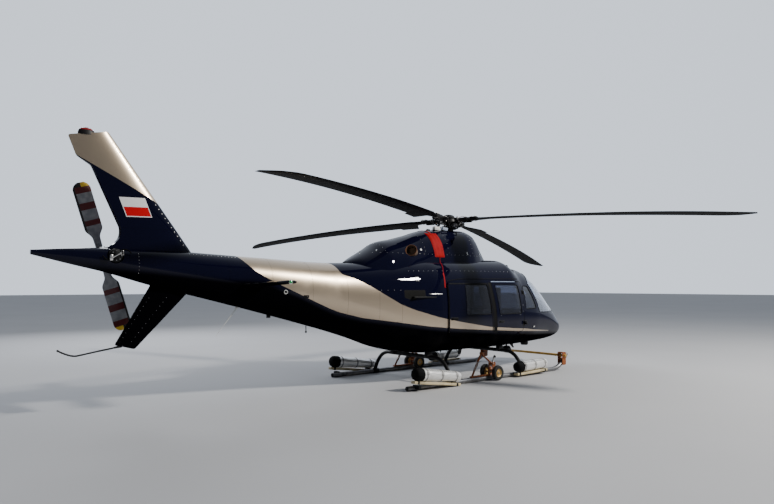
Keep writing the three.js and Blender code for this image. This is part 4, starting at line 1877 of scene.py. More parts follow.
FINISHES: dict[str, Finish] = {
    "body": BodyPaint(),
    "glass": Glass(),
    "clear_glass": Glass("windshield_glass", (0.62, 0.68, 0.8)),
    "black": Paint("black_metal", (0.005, 0.005, 0.0058), 0.36, worn=(0.06, 0.06, 0.06), shine=0.22),
    "lining": Paint("cabin_lining", (0.042, 0.04, 0.04), 0.7, wear=0.05),
    "blade": BladePaint(),
    "tail_blade": TailBladePaint(),
    "steel": Metal("bare_steel", (0.42, 0.4, 0.38)),
    "alloy": Metal("cast_alloy", (0.16, 0.155, 0.15), (0.03, 0.03, 0.03), 0.4, 0.7),
    "heat": Metal("hot_steel", (0.3, 0.22, 0.16), (0.035, 0.028, 0.026), 0.42, 0.8),
    "copper": Metal("copper_rim", (0.62, 0.3, 0.16), (0.12, 0.06, 0.04), 0.28, 0.4),
    "bright": Metal("bright_metal", (0.74, 0.73, 0.71), roughness=0.16, stained=0.15),
    "red_cloth": Cloth("red_fabric", (0.27, 0.0006, 0.0016), (0.09, 0.002, 0.003), 0.66, 0.0, shine=0.12),
    "float_cloth": Cloth("float_fabric", (0.86, 0.85, 0.83), (0.34, 0.32, 0.28), 0.28, metallic=0.6),
    # Painted shade: near-black cloth for the bags' aft ends, which face away from the light
    "cap_cloth": Cloth(
        "float_painted_shade_end", (0.002, 0.002, 0.0024), (0.01, 0.009, 0.008), 0.74, 0.0, shine=0.08,
    ),
    "webbing": Cloth("webbing", (0.03, 0.03, 0.032), (0.08, 0.07, 0.06), 0.75, 0.2, 0.003),
    "grey_webbing": Cloth("grey_webbing", (0.26, 0.26, 0.26), (0.12, 0.11, 0.1), 0.6, 0.1, 0.003),
    "tube_grey": Metal("skid_grey", (0.24, 0.24, 0.25), (0.05, 0.045, 0.04), 0.3, 0.5),
    "cream": Paint("cream_board", (0.6, 0.5, 0.3), 0.55, wear=0.5, worn=(0.22, 0.17, 0.11)),
    "yellow": Paint("yellow_paint", (0.46, 0.27, 0.05), 0.42, wear=0.6, worn=(0.13, 0.09, 0.05)),
    "orange": Paint("orange_paint", (0.25, 0.068, 0.012), 0.5, wear=1.4, worn=(0.03, 0.014, 0.009)),
    "gold": Paint("hub_gold", (0.66, 0.42, 0.14), 0.36, 0.35, wear=0.4),
    "rubber": Rubber(),
    "seal": Rubber("seal_rubber", (0.002, 0.002, 0.002), (0.012, 0.012, 0.012), 0.12),
    "red_lens": Lens("red_lens", (0.3, 0.012, 0.01)),
    "clear_lens": Lens("clear_lens", (0.75, 0.76, 0.78)),
    "green_lens": Lens("green_lens", (0.02, 0.32, 0.09)),
    "leather": Leather(),
    "plastic": Paint("dark_plastic", (0.018, 0.018, 0.02), 0.5, wear=0.08),
    "screen": Paint("screen_glass", (0.006, 0.01, 0.016), 0.12, wear=0.02, coat=0.8),
    "white": Paint("white_paint", (0.7, 0.7, 0.68), 0.35, wear=0.15),
    # Painted reflection: blue-grey for sky reflected on a top behind the mast
    "sky_grey": Paint("painted_reflection_grey", (0.3, 0.36, 0.48), 0.4, wear=0.2),
    "carpet": Cloth("carpet", (0.055, 0.055, 0.062), (0.1, 0.09, 0.08), 0.9, 0.3, 0.004),
}


class Palette:
    """Every material of the helicopter, made once."""

    def __init__(self) -> None:
        """Makes the materials."""
        self.materials = {word: finish.material() for word, finish in FINISHES.items()}

    def pick(self, words: str) -> list[bpy.types.Material]:
        """The materials with these words as their names."""
        return [self.materials[word] for word in words.split()]


# Sub-assemblies


@dataclass
class Assembly:
    """Pieces that belong together and share the palette."""

    palette: Palette

    def put(
        self, form: Form, name: str, finishes: str, slot: Slot, replaces: Sequence[str] = (),
        body: str = "airframe", crease: float = 32.0,
    ) -> bpy.types.Object:
        """Finishes a form as a piece of this assembly.

        Args:
            form: The form.
            name: Name of the piece.
            finishes: The palette's words for its materials, in the order of their indices.
            slot: Passed on, but not used.
            replaces: The frame's nodes that it stands for.
            body: The body it rides on.
            crease: Edges that turn by more than this many degrees show as sharp.

        Returns:
            The object.
        """
        return form.piece(name, body, self.palette.pick(finishes), slot, replaces, crease)


@dataclass
class Fuselage(Assembly):
    """The body skin, from the nose to the tail cone's tip."""

    cabin_rear: float = -0.95
    boom_start: float = -2.95
    cone_start: float = -5.4
    nose_end: float = 3.511
    wall: float = 0.05
    roof_depth: float = 0.16
    floor: float = 0.8
    door_gap: float = 0.013
    corner: float = 0.06
    post: float = 0.028
    rail_bottom: float = 1.54
    rail_height: float = 0.025
    rail_outside: float = 0.812
    gearbox_hole: float = 0.105

    def openings(self) -> Form:
        """Slabs through doors and windows on both sides.

        Returns:
            The cutter.
        """
        cutter = Form()
        for outline, gap, corner, inner in (
            (FRONT_DOOR, self.door_gap, self.corner, 0.3),
            (REAR_OPENING, 0.0, self.corner, 0.3),
            (QUARTER_WINDOW, 0.0, 0.045, 0.3),
            (WINDSHIELD, 0.0, self.corner, self.post),
        ):
            points = rounded(grown(in_metres(outline), gap), corner, 8)
            cutter.slab(points, -1.5, -inner)
            cutter.slab(points, inner, 1.5)
        return cutter

    def build_cabin(self) -> None:
        """The hollow cabin with its nose."""
        cabin = HULL.solid(self.cabin_rear, self.nose_end)
        inner_end = 3.1
        air = HULL.solid(self.cabin_rear + self.wall, inner_end, -self.wall, -self.roof_depth, 80)
        air.slice((0, 0, self.floor), (0, 0, -1))
        cabin.cut(air).cut(self.openings())
        cabin.paint_where(
            1, lambda f: HULL.share(f.calc_center_median()) < 0.985 and f.calc_center_median().x < 3.2,
        )
        cabin.paint_where(2, lambda f: f.normal.z > 0.9 and f.calc_center_median().z < self.floor + 0.01)
        self.put(
            cabin, "cabin_skin", "body lining carpet", Slot.BODY_PAINT,
            ("underfloor_hull", "cabin_frame", "nose_cap"),
        )

    def build_aft(self) -> None:
        """The body behind the cabin with its door rails, the boom and the cone."""
        aft = HULL.solid(self.boom_start, self.cabin_rear - 0.001)
        for side in Side:
            low = (-1.64, side.sign * 0.6, self.rail_bottom)
            high = (self.cabin_rear, side.sign * self.rail_outside, self.rail_bottom + self.rail_height)
            aft.box(low, high, 0.004, finish=1)
        self.put(aft, "aft_skin", "body black", Slot.BODY_PAINT, ("aft_fuselage",))
        boom = HULL.solid(self.cone_start, self.boom_start - 0.001)
        self.put(boom, "boom_skin", "body", Slot.BODY_PAINT, ("tail_boom",))
        cone = HULL.solid(-7.49, self.cone_start - 0.001)
        hole = Form().rod((-6.49, -0.4, 2.165), (-6.49, 0.4, 2.165), self.gearbox_hole, sides=48)
        cone.cut(hole)
        self.put(cone, "cone_skin", "body", Slot.BODY_PAINT, ("tail_cone",))

    def build(self) -> None:
        """Builds every part of the body."""
        self.build_cabin()
        self.build_aft()


@dataclass
class Doors(Assembly):
    """Hinged front doors, sliding rear doors and every pane."""

    thickness: float = 0.05
    lift: float = 0.006
    slide_thickness: float = 0.03
    glass_depth: float = 0.006
    glass_thickness: float = 0.008
    rest_slide: dict[Side, float] = field(default_factory=lambda: {Side.LEFT: 0.0, Side.RIGHT: -0.12})

    def starboard(
        self, shell: Form, outline: Outline, corner: float, shrink: float = 0.0, inner: float = 0.3,
    ) -> Form:
        """A shell's part inside an outline on the starboard side."""
        points = rounded(grown(in_metres(outline), -shrink), corner, 8)
        return shell.keep(Form().slab(points, -1.5, -inner))

    def on_side(self, form: Form, side: Side) -> Form:
        """A starboard form on one side, the starboard one kept for the next."""
        return form.copy() if side is Side.RIGHT else form.mirrored()

    def seal(self, outline: Outline, out: float, corner: float, radius: float = 0.009) -> Form:
        """A rubber seal round a window on the starboard side.

        Args:
            outline: The window's corners in mm.
            out: How far outside the skin.
            corner: Radius of the corners.
            radius: The rubber's radius.

        Returns:
            The seal.
        """
        points = along_outline(rounded(in_metres(outline), corner, 8), 0.05)
        path = [HULL.skin(x, z, Side.RIGHT, out) for x, z in [*points, points[0], points[1]]]
        return Form().pipe(path, radius, 8, 0.5)

    def build(self) -> None:
        """Builds the doors and panes of both sides."""
        front = self.starboard(HULL.shell(0.3, 1.5, 0.0, -self.thickness), FRONT_DOOR, 0.055)
        front.cut(Form().slab(rounded(in_metres(FRONT_WINDOW), 0.05, 8), -1.5, -0.3))
        high = self.lift + self.slide_thickness
        rear = self.starboard(HULL.shell(-0.8, 0.62, high, self.lift), REAR_DOOR, 0.055)
        rear.cut(Form().slab(rounded(in_metres(REAR_WINDOW), 0.05, 8), -1.5, -0.3))
        low, deep = -self.glass_depth, -self.glass_depth - self.glass_thickness
        front_pane = self.starboard(HULL.shell(0.45, 1.4, low, deep), FRONT_WINDOW, 0.05, 0.0006)
        rear_pane = self.starboard(HULL.shell(-0.4, 0.55, high + low, high + deep), REAR_WINDOW, 0.05, 0.0006)
        quarter = self.starboard(HULL.shell(1.35, 1.95, low, deep), QUARTER_WINDOW, 0.045, 0.0006)
        windshield = self.starboard(HULL.shell(1.6, 3.3, low, deep), WINDSHIELD, 0.06, 0.0006, 0.0286)
        seal = self.seal(grown(FRONT_WINDOW, 4), -0.001, 0.05)
        rear_seal = self.seal(grown(REAR_WINDOW, 4), high - 0.001, 0.05)
        quarter_seal = self.seal(grown(QUARTER_WINDOW, 4), -0.001, 0.045)
        for side in Side:
            name = side.label
            still, slid = Matrix.Identity(4), Matrix.Translation((self.rest_slide[side], 0, 0))
            front_body, rear_body = f"door_front_{name}_body", f"door_rear_{name}_body"
            door = self.on_side(front, side)
            door.paint_where(1, lambda f: HULL.share(f.calc_center_median()) < 0.975)
            self.put(
                door, f"front_door_skin_{name}", "body lining", Slot.BODY_PAINT, (f"door_front_{name}",),
                front_body,
            )
            sliding = self.on_side(rear, side)
            sliding.paint_where(1, lambda f: HULL.share(f.calc_center_median()) < 1.016)
            self.put(
                sliding.move(slid), f"rear_door_skin_{name}", "body lining", Slot.BODY_PAINT,
                (f"door_rear_{name}",), rear_body,
            )
            for form, piece, body, place, finish, node in (
                (front_pane, "front_door_pane", front_body, still, "glass", "door_front_glass"),
                (rear_pane, "rear_door_pane", rear_body, slid, "glass", "door_rear_glass"),
                (quarter, "quarter_pane", "airframe", still, "glass", "quarter_window"),
                (windshield, "windshield_pane", "airframe", still, "clear_glass", "windshield"),
                (seal, "front_door_seal", front_body, still, "seal", ""),
                (rear_seal, "rear_door_seal", rear_body, slid, "seal", ""),
                (quarter_seal, "quarter_seal", "airframe", still, "seal", ""),
            ):
                shape = self.on_side(form, side).move(place)
                slot = Slot.CABIN_GLASS if node else Slot.BODY_PAINT
                self.put(shape, f"{piece}_{name}", finish, slot, (f"{node}_{name}",) if node else (), body)


@dataclass
class UpperDeck(Assembly):
    """Engine cowl, mast fairing, exhausts and the red intake covers."""

    split: float = -0.3
    skin: float = 0.025
    exhaust_place: tuple[float, float, float] = (-1.37, 0.44, 2.385)
    exhaust_way: tuple[float, float, float] = (-0.756, 0.605, 0.252)
    exhaust_radius: float = 0.1
    mast_hole: float = 0.13

    def exhaust_point(self, side: Side, distance: float) -> Vector:
        """A point on one exhaust's axis."""
        point = Vector(self.exhaust_place) + Vector(self.exhaust_way) * distance
        return Vector((point.x, point.y * side.sign, point.z))

    def build_cowls(self) -> None:
        """The two cowls with their openings."""
        inner = COWL.solid(-2.5, 1.0, -self.skin)
        engine = COWL.solid(-2.56, self.split).cut(inner)
        holes = Form()
        for side in Side:
            holes.rod(self.exhaust_point(side, -0.16), self.exhaust_point(side, 0.4), 0.108, sides=48)
            holes.slab(rounded(grown(in_metres(INTAKE), -0.025), 0.04, 6), side.sign * 0.2, side.sign * 1.5)
        engine.cut(holes)
        self.put(engine, "engine_cowl_skin", "body", Slot.BODY_PAINT, ("engine_cowl",))
        fairing = COWL.solid(self.split + 0.001, 1.06).cut(inner)
        up = Rotor.disc_up()
        hub = Vector((Rotor.ahead, 0, Rotor.height))
        fairing.cut(Form().rod(hub - up * 0.9, hub, self.mast_hole, sides=48))
        self.put(fairing, "mast_fairing_skin", "body", Slot.BODY_PAINT, ("mast_fairing",))

    def build_exhausts(self) -> None:
        """The two exhaust pipes with rolled lips."""
        outer, wall = self.exhaust_radius, 0.006
        for side in Side:
            way = (self.exhaust_point(side, 1) - self.exhaust_point(side, 0)).normalized()
            profile = (
                (outer - wall, -0.14), (outer - wall, 0.055), (outer - 0.004, 0.072), (outer + 0.004, 0.074),
                (outer + 0.006, 0.064), (outer, 0.05), (outer, -0.14), (outer - wall, -0.14),
            )
            pipe = Form().lathe(profile, self.exhaust_point(side, 0), way, 48)
            pipe.rod(
                self.exhaust_point(side, -0.138), self.exhaust_point(side, -0.128), outer - wall, sides=32,
            )
            pipe.paint_where(
                1, lambda f, s=side: (f.calc_center_median() - self.exhaust_point(s, 0.048)).dot(way) > 0,
            )
            self.put(
                pipe, f"exhaust_pipe_{side.label}", "heat copper", Slot.BARE_STEEL,
                (f"exhaust_{side.label}",),
            )

    def build_covers(self) -> None:
        """The padded red covers over the intakes."""
        low, high = 2.292, 2.758
        for side in Side:
            cover = Form()
            made = bmesh.ops.create_grid(cover.bm, x_segments=24, y_segments=40, size=1)["verts"]
            for v in made:
                u, w = v.co.x, v.co.y
                z = low + (high - low) * (w + 1) / 2
                rear = np.interp(z, (2.29, 2.76), (-0.82, -0.84))
                front = np.interp(z, (2.29, 2.56, 2.76), (-0.56, -0.56, -0.58))
                x = rear + (front - rear) * (u + 1) / 2
                crown = (1 - abs(u) ** 6) * (1 - abs(w) ** 8)
                quilt = 0.0025 * math.cos(math.pi * 3 * u) * crown
                point = COWL.skin(x, z, side) + COWL.normal(x, z, side) * (0.004 + 0.011 * crown**0.6 + quilt)
                v.co = point
            bmesh.ops.recalc_face_normals(cover.bm, faces=cover.bm.faces)
            centre = COWL.normal(-0.7, 2.5, side)
            if sum((f.normal for f in cover.bm.faces), Vector()).dot(centre) < 0:
                bmesh.ops.reverse_faces(cover.bm, faces=cover.bm.faces)
            bmesh.ops.solidify(cover.bm, geom=cover.bm.faces[:], thickness=0.004)
            piece = self.put(
                cover, f"intake_pad_{side.label}", "red_cloth", Slot.RED_FABRIC,
                (f"intake_cover_{side.label}",), crease=60,
            )

    def build(self) -> None:
        """Builds the upper deck."""
        self.build_cowls()
        self.build_exhausts()
        self.build_covers()


@dataclass
class Tail(Assembly):
    """Fins, stabilisers, tail skid, beacon and tail gearbox."""

    def build_fins(self) -> None:
        """The upper and the lower fin."""
        upper = UPPER_FIN.solid(FIN_UPPER)
        upper.cut(Form().rod((-6.49, -0.4, 2.165), (-6.49, 0.4, 2.165), 0.105, sides=48))
        self.put(upper, "fin_upper_skin", "body", Slot.BODY_PAINT, ("fin_upper",))
        self.put(LOWER_FIN.solid(FIN_LOWER), "fin_lower_skin", "body", Slot.BODY_PAINT, ("fin_lower",))

    def build_stabilisers(self) -> None:
        """Both halves of the stabiliser, with closed tips."""
        rows = SmoothTable(STABILISER_SECTIONS, (MM,) * 4)
        for side in Side:
            rings = []
            for out in (0.25, 0.6, 1.0, 1.25, 1.28, 1.3, 1.308):
                lead, trail, thickness = rows(out)
                if out > 1.25:
                    thickness *= math.sqrt(max(1 - ((out - 1.25) / 0.06) ** 2, 0.04)) * 1.4
                section = foil_section(lead, trail, min(thickness, 0.052 if out > 1.2 else 1), 16)
                lift = math.tan(math.radians(2)) * out
                rings.append([Vector((-4.5 + a, side.sign * out, 1.768 + lift + u)) for a, u in section])
            self.put(
                Form().loft(rings), f"stabiliser_skin_{side.label}", "body", Slot.BODY_PAINT,
                (f"stabiliser_{side.label}",),
            )

    def build_ends(self) -> None:
        """Tail skid, beacon and tail gearbox."""
        path = [Vector((-6.36, 0, 0.9285)), Vector((-6.6, 0, 0.89)), Vector((-6.88, 0, 0.843))]
        path += bezier(((-6.9, 0, 0.839), (-6.99, 0, 0.825), (-7.145, 0, 0.918)), 10)
        skid = Form().pipe(path, 0.012, 14)
        skid.ball(path[-1], (0.015, 0.015, 0.015))
        skid.rod((-6.345, 0, 0.931), (-6.44, 0, 0.916), 0.019, 0.014)
        self.put(skid, "tail_skid_tube", "black", Slot.BLACK_METAL, ("tail_skid",))
        profile = (
            (0, 0.098), (0.022, 0.096), (0.04, 0.084), (0.052, 0.062), (0.058, 0.03), (0.059, 0.0), (0, 0.0),
        )
        beacon = Form().lathe(profile, (0, 0, 0), (0, 0, 1), 32)
        beacon.paint_where(1, lambda f: f.calc_center_median().z < 0.066)
        beacon.move(Matrix.Translation((-6.86, 0, 3.785)) @ Matrix.Diagonal((1.85, 0.75, 1, 1)))
        self.put(beacon, "beacon_lamp", "red_lens black", Slot.RED_LENS, ("fin_beacon",))
        centre = Vector((-6.49, 0, 2.165))
        box = Form()
        for y0, y1, radius in ((-0.16, 0.33, 0.093), (0.2, 0.26, 0.135), (-0.215, -0.15, 0.04)):
            box.rod(centre + Vector((0, y0, 0)), centre + Vector((0, y1, 0)), radius, sides=40, bevel=0.006)
        box.rod(centre + Vector((0, 0.26, 0)), centre + Vector((0, 0.275, 0)), 0.115, sides=40, bevel=0.004)
        box.rod(
            centre + Vector((0, -0.178, 0)), centre + Vector((0, -0.158, 0)), 0.078, sides=40, bevel=0.004,
        )
        for count, reach, y in ((12, 0.118, 0.265), (8, 0.064, -0.174)):
            for ahead, up in circle(count, reach):
                head = centre + Vector((ahead, y, up))
                box.rod(head - Vector((0, 0.01, 0)), head + Vector((0, 0.007, 0)), 0.007, sides=6, finish=2)
        box.rod((-6.43, -0.205, 2.205), (-6.56, -0.205, 2.13), 0.012, sides=14, finish=2)
        box.box((-6.585, -0.214, 2.095), (-6.545, -0.196, 2.175), 0.006, finish=2)
        box.box((-6.44, -0.214, 2.17), (-6.405, -0.196, 2.235), 0.006, finish=2)
        box.pipe(
            bezier(((-6.44, -0.17, 2.235), (-6.36, -0.2, 2.28), (-6.3, -0.19, 2.2)), 8), 0.009, 10, finish=1,
        )
        box.pipe(
            bezier(((-6.55, -0.16, 2.12), (-6.62, -0.2, 2.08), (-6.66, -0.16, 2.16)), 8), 0.009, 10, finish=1,
        )
        self.put(box, "tail_gearbox_case", "black seal bright", Slot.BARE_STEEL, ("tail_gearbox",))

    def build(self) -> None:
        """Builds the tail."""
        self.build_fins()
        self.build_stabilisers()
        self.build_ends()


@dataclass
class TailRotor(Assembly):
    """Hub and two blades on the port side."""

    place: tuple[float, float, float] = (-6.49, 0.45, 2.165)
    lean: float = 17.5

    def frame(self, turn: float) -> Matrix:
        """From a blade along x to its place."""
        turned = Matrix.Rotation(math.radians(90 - self.lean) + turn, 4, "Y")
        return Matrix.Translation(self.place) @ turned

    def build(self) -> None:
        """Builds hub and blades."""
        frame = self.frame(0)
        hub = Form()
        hub.rod((0, -0.11, 0), (0, 0.06, 0), 0.045, sides=32, bevel=0.004)
        hub.rod((0, -0.03, 0), (0, 0.03, 0), 0.085, sides=40, bevel=0.006)
        hub.box((-0.149, -0.02, -0.036), (0.149, 0.02, 0.036), 0.006)
        hub.rod((0, 0.06, 0), (0, 0.09, 0), 0.028, 0.02, 24, 0.003)
        for way in (-1, 1):
            hub.rod((way * 0.12, -0.034, 0), (way * 0.12, 0.034, 0), 0.016, sides=12, bevel=0.002)
            hub.rod((way * 0.06, -0.075, 0.055), (way * 0.135, -0.03, 0.058), 0.009, sides=10)
            hub.rod((way * 0.055, -0.09, 0.03), (way * 0.06, -0.07, 0.06), 0.012, sides=10)
        hub.move(frame)
        self.put(hub, "tail_hub_fittings", "steel", Slot.BARE_STEEL, ("tail_hub",), "tail_rotor")
        rows = SmoothTable(TAIL_BLADE_SECTIONS, (MM,) * 4)
        radii = [0.15 + 0.935 * k / 48 for k in range(49)]
        for index in (1, 2):
            rings = []
            for radius in radii:
                lead, trail, thickness = rows(radius)
                section = foil_section(lead, trail, thickness, 16)
                rings.append([Vector((radius, -up, ahead)) for ahead, up in section])
            blade = Form().loft(rings)
            blade.rod((0.165, -0.026, 0), (0.165, 0.026, 0), 0.014, sides=12, bevel=0.002)
            blade.rod((0.24, -0.022, 0), (0.24, 0.022, 0), 0.012, sides=12, bevel=0.002)
            numbers = [(v.co.x / 1.085, (v.co.z + 0.124) / 0.244) for v in blade.bm.verts]
            blade.move(self.frame((index - 1) * math.pi))
            piece = self.put(
                blade, f"tail_blade_skin_{index}", "tail_blade", Slot.BLADE_GREY, (f"tail_blade_{index}",),
                "tail_rotor",
            )
            for name, column in (("out", 0), ("across", 1)):
                layer = piece.data.attributes.new(name, "FLOAT", "POINT")
                layer.data.foreach_set("value", [row[column] for row in numbers])


@dataclass
class Rotor(Assembly):
    """Main rotor head and blades."""

    ahead: float = 0.04
    height: float = 3.07
    azimuth: float = 19.4
    droop: float = 0.283
    radius: float = 5.415

    @staticmethod
    def disc_up() -> Vector:
        """The direction of the mast."""
        return Vector((0.0813, 0.0467, 1)).normalized()

    def frame(self, index: int = 0) -> Matrix:
        """From a blade along x to its place.

        Args:
            index: Which blade, or -1 for the mast.

        Returns:
            The matrix.
        """
        turn = Vector((0, 0, 1)).rotation_difference(self.disc_up()).to_matrix().to_4x4()
        spin = Matrix.Rotation(
            math.radians(self.azimuth + 90 * index), 4, "Z",
        ) if index >= 0 else Matrix.Identity(4)
        return Matrix.Translation((self.ahead, 0, self.height)) @ turn @ spin

    def build_head(self) -> None:
        """Mast, swashplate, hub, grips, dampers and pitch links."""
        head = Form()
        head.rod((0, 0, -0.48), (0, 0, 0.06), 0.062, sides=40, bevel=0.003)
        head.rod((0, 0, -0.07), (0, 0, 0.035), 0.19, 0.16, 48, 0.01)
        head.lathe(
            (
                (0, 0.118), (0.045, 0.116), (0.085, 0.104), (0.112, 0.08), (0.124, 0.05), (0.126, 0.03),
                (0, 0.03),
            ),
            (0, 0, 0), (0, 0, 1), 48,
        )
        head.rod((0, 0, -0.175), (0, 0, -0.15), 0.165, sides=48, bevel=0.006)
        head.rod((0, 0, -0.148), (0, 0, -0.13), 0.15, sides=48, bevel=0.005)
        head.rod((0, 0, -0.3), (0, 0, -0.175), 0.085, 0.1, 40, 0.004)
        for x, y in circle(16, 0.1):
            head.rod((x, y, 0.06), (x, y, 0.096), 0.007, sides=6)
        for x, y in circle(20, 0.154):
            head.rod((x, y, -0.152), (x, y, -0.141), 0.006, sides=6, finish=1)
        for way in (-1, 1):
            elbow = (way * 0.168, way * 0.03, -0.105)
            head.rod((way * 0.066, way * 0.03, -0.078), elbow, 0.013, sides=14)
            head.rod(elbow, (way * 0.128, way * 0.03, -0.148), 0.013, sides=14)
            head.ball(elbow, (0.019, 0.024, 0.019), finish=1)
        for radius, z in ((0.176, 0.036), (0.15, 0.046)):
            head.ring((0, 0, z), (0, 0, 1), radius, 0.008)
        head.move(self.frame(-1))
        for index in range(4):
            arm = Form()
            arm.box((0.12, -0.072, -0.05), (0.345, 0.072, 0.026), 0.016)
            arm.box((0.15, -0.05, 0.02), (0.33, 0.05, 0.034), 0.006)
            arm.box((0.33, -0.056, -0.036), (0.619, 0.046, 0.036), 0.012)
            arm.box((0.47, -0.052, 0.02), (0.619, 0.042, 0.044), 0.006)
            arm.box((0.39, -0.108, -0.024), (0.48, -0.042, 0.024), 0.008)
            arm.rod((0.25, -0.105, -0.01), (0.46, -0.12, -0.01), 0.033, sides=24, bevel=0.006)
            arm.rod((0.225, -0.103, -0.01), (0.485, -0.122, -0.01), 0.012, sides=16)
            arm.rod((0.15, 0.09, -0.15), (0.33, 0.118, -0.01), 0.012, sides=16)
            arm.ball((0.33, 0.118, -0.01), (0.024, 0.02, 0.02))
            arm.ball((0.15, 0.09, -0.15), (0.022, 0.018, 0.02))
            arm.rod((0.33, 0.04, -0.01), (0.33, 0.128, -0.01), 0.022, sides=20, bevel=0.003)
            for x in (0.51, 0.58):
                for y in (-0.03, 0.024):
                    arm.rod((x, y, -0.044), (x, y, 0.056), 0.011, sides=12, bevel=0.002, finish=1)
            arm.box((0.345, -0.036, -0.064), (0.5, 0.03, -0.04), 0.006)
            arm.rod((0.215, 0, -0.05), (0.215, 0, -0.096), 0.03, 0.022, 20, 0.004)
            for k in range(3):
                arm.ring((0.352 + 0.014 * k, -0.005, 0), (1, 0, 0), 0.052, 0.006)
            for y in (-0.058, 0.058):
                arm.rod((0.25, y, -0.058), (0.25, y, 0.04), 0.013, sides=6, finish=1)
                arm.rod((0.145, y, 0.02), (0.145, y, 0.038), 0.01, sides=6, finish=1)
            arm.pipe(
                bezier(((0.26, -0.07, 0.02), (0.33, -0.15, 0.06), (0.42, -0.11, 0.02)), 8), 0.006, 8, finish=2
            )
            arm.rod((0.25, -0.104, -0.01), (0.275, -0.106, -0.01), 0.036, sides=24, bevel=0.003, finish=1)
            arm.slab(((0.15, 0.034), (0.215, 0.034), (0.182, 0.086)), -0.004, 0.004, finish=1)
            arm.rod((0.18, 0, 0.026), (0.18, 0, 0.052), 0.026, sides=20, bevel=0.004, finish=1)
            arm.rod((0.29, 0, 0.026), (0.29, 0, 0.046), 0.018, sides=16, bevel=0.003, finish=1)
            head.add(arm, self.frame(index))
        self.put(
            head, "rotor_head_fittings", "black steel copper", Slot.BLACK_METAL, ("rotor_head",),
            "main_rotor",
        )

    def build_blades(self) -> None:
        """Four blades with root cuffs and swept tips."""
        rows = SmoothTable(BLADE_SECTIONS, (MM, MM, MM, MM, 1))
        radii = sorted({0.6203, *(0.66 + 0.055 * k for k in range(17)), *(1.6 + 0.12 * k for k in range(30)),
                        *(5.1 + 0.021 * k for k in range(15)), 0.76, 0.8, 0.83, 0.86, 1.23, 1.27, 5.4149})
        for index in range(4):
            rings = []
            for radius in radii:
                lead, trail, thickness, pitch = rows(radius)
                c, s = math.cos(math.radians(pitch)), math.sin(math.radians(pitch))
                drop = self.droop * (radius / self.radius) ** 2
                section = foil_section(lead, trail, thickness, 16)
                rings.append([Vector((radius, a * c - u * s, a * s + u * c - drop)) for a, u in section])
            blade = Form().loft(rings)
            blade.move(self.frame(index))
            self.put(
                blade, f"main_blade_skin_{index + 1}", "blade", Slot.BLADE_BLACK,
                (f"main_blade_{index + 1}",), "main_rotor",
            )

    def build(self) -> None:
        """Builds the rotor."""
        self.build_head()
        self.build_blades()


@dataclass(frozen=True)
class Bag:
    """One stowed float bag: its place, length, end radii, pitch in degrees and brackets."""

    end: str
    x: float
    z: float
    length: float
    aft: float
    fore: float
    pitch: float
    brackets: tuple[float, float]


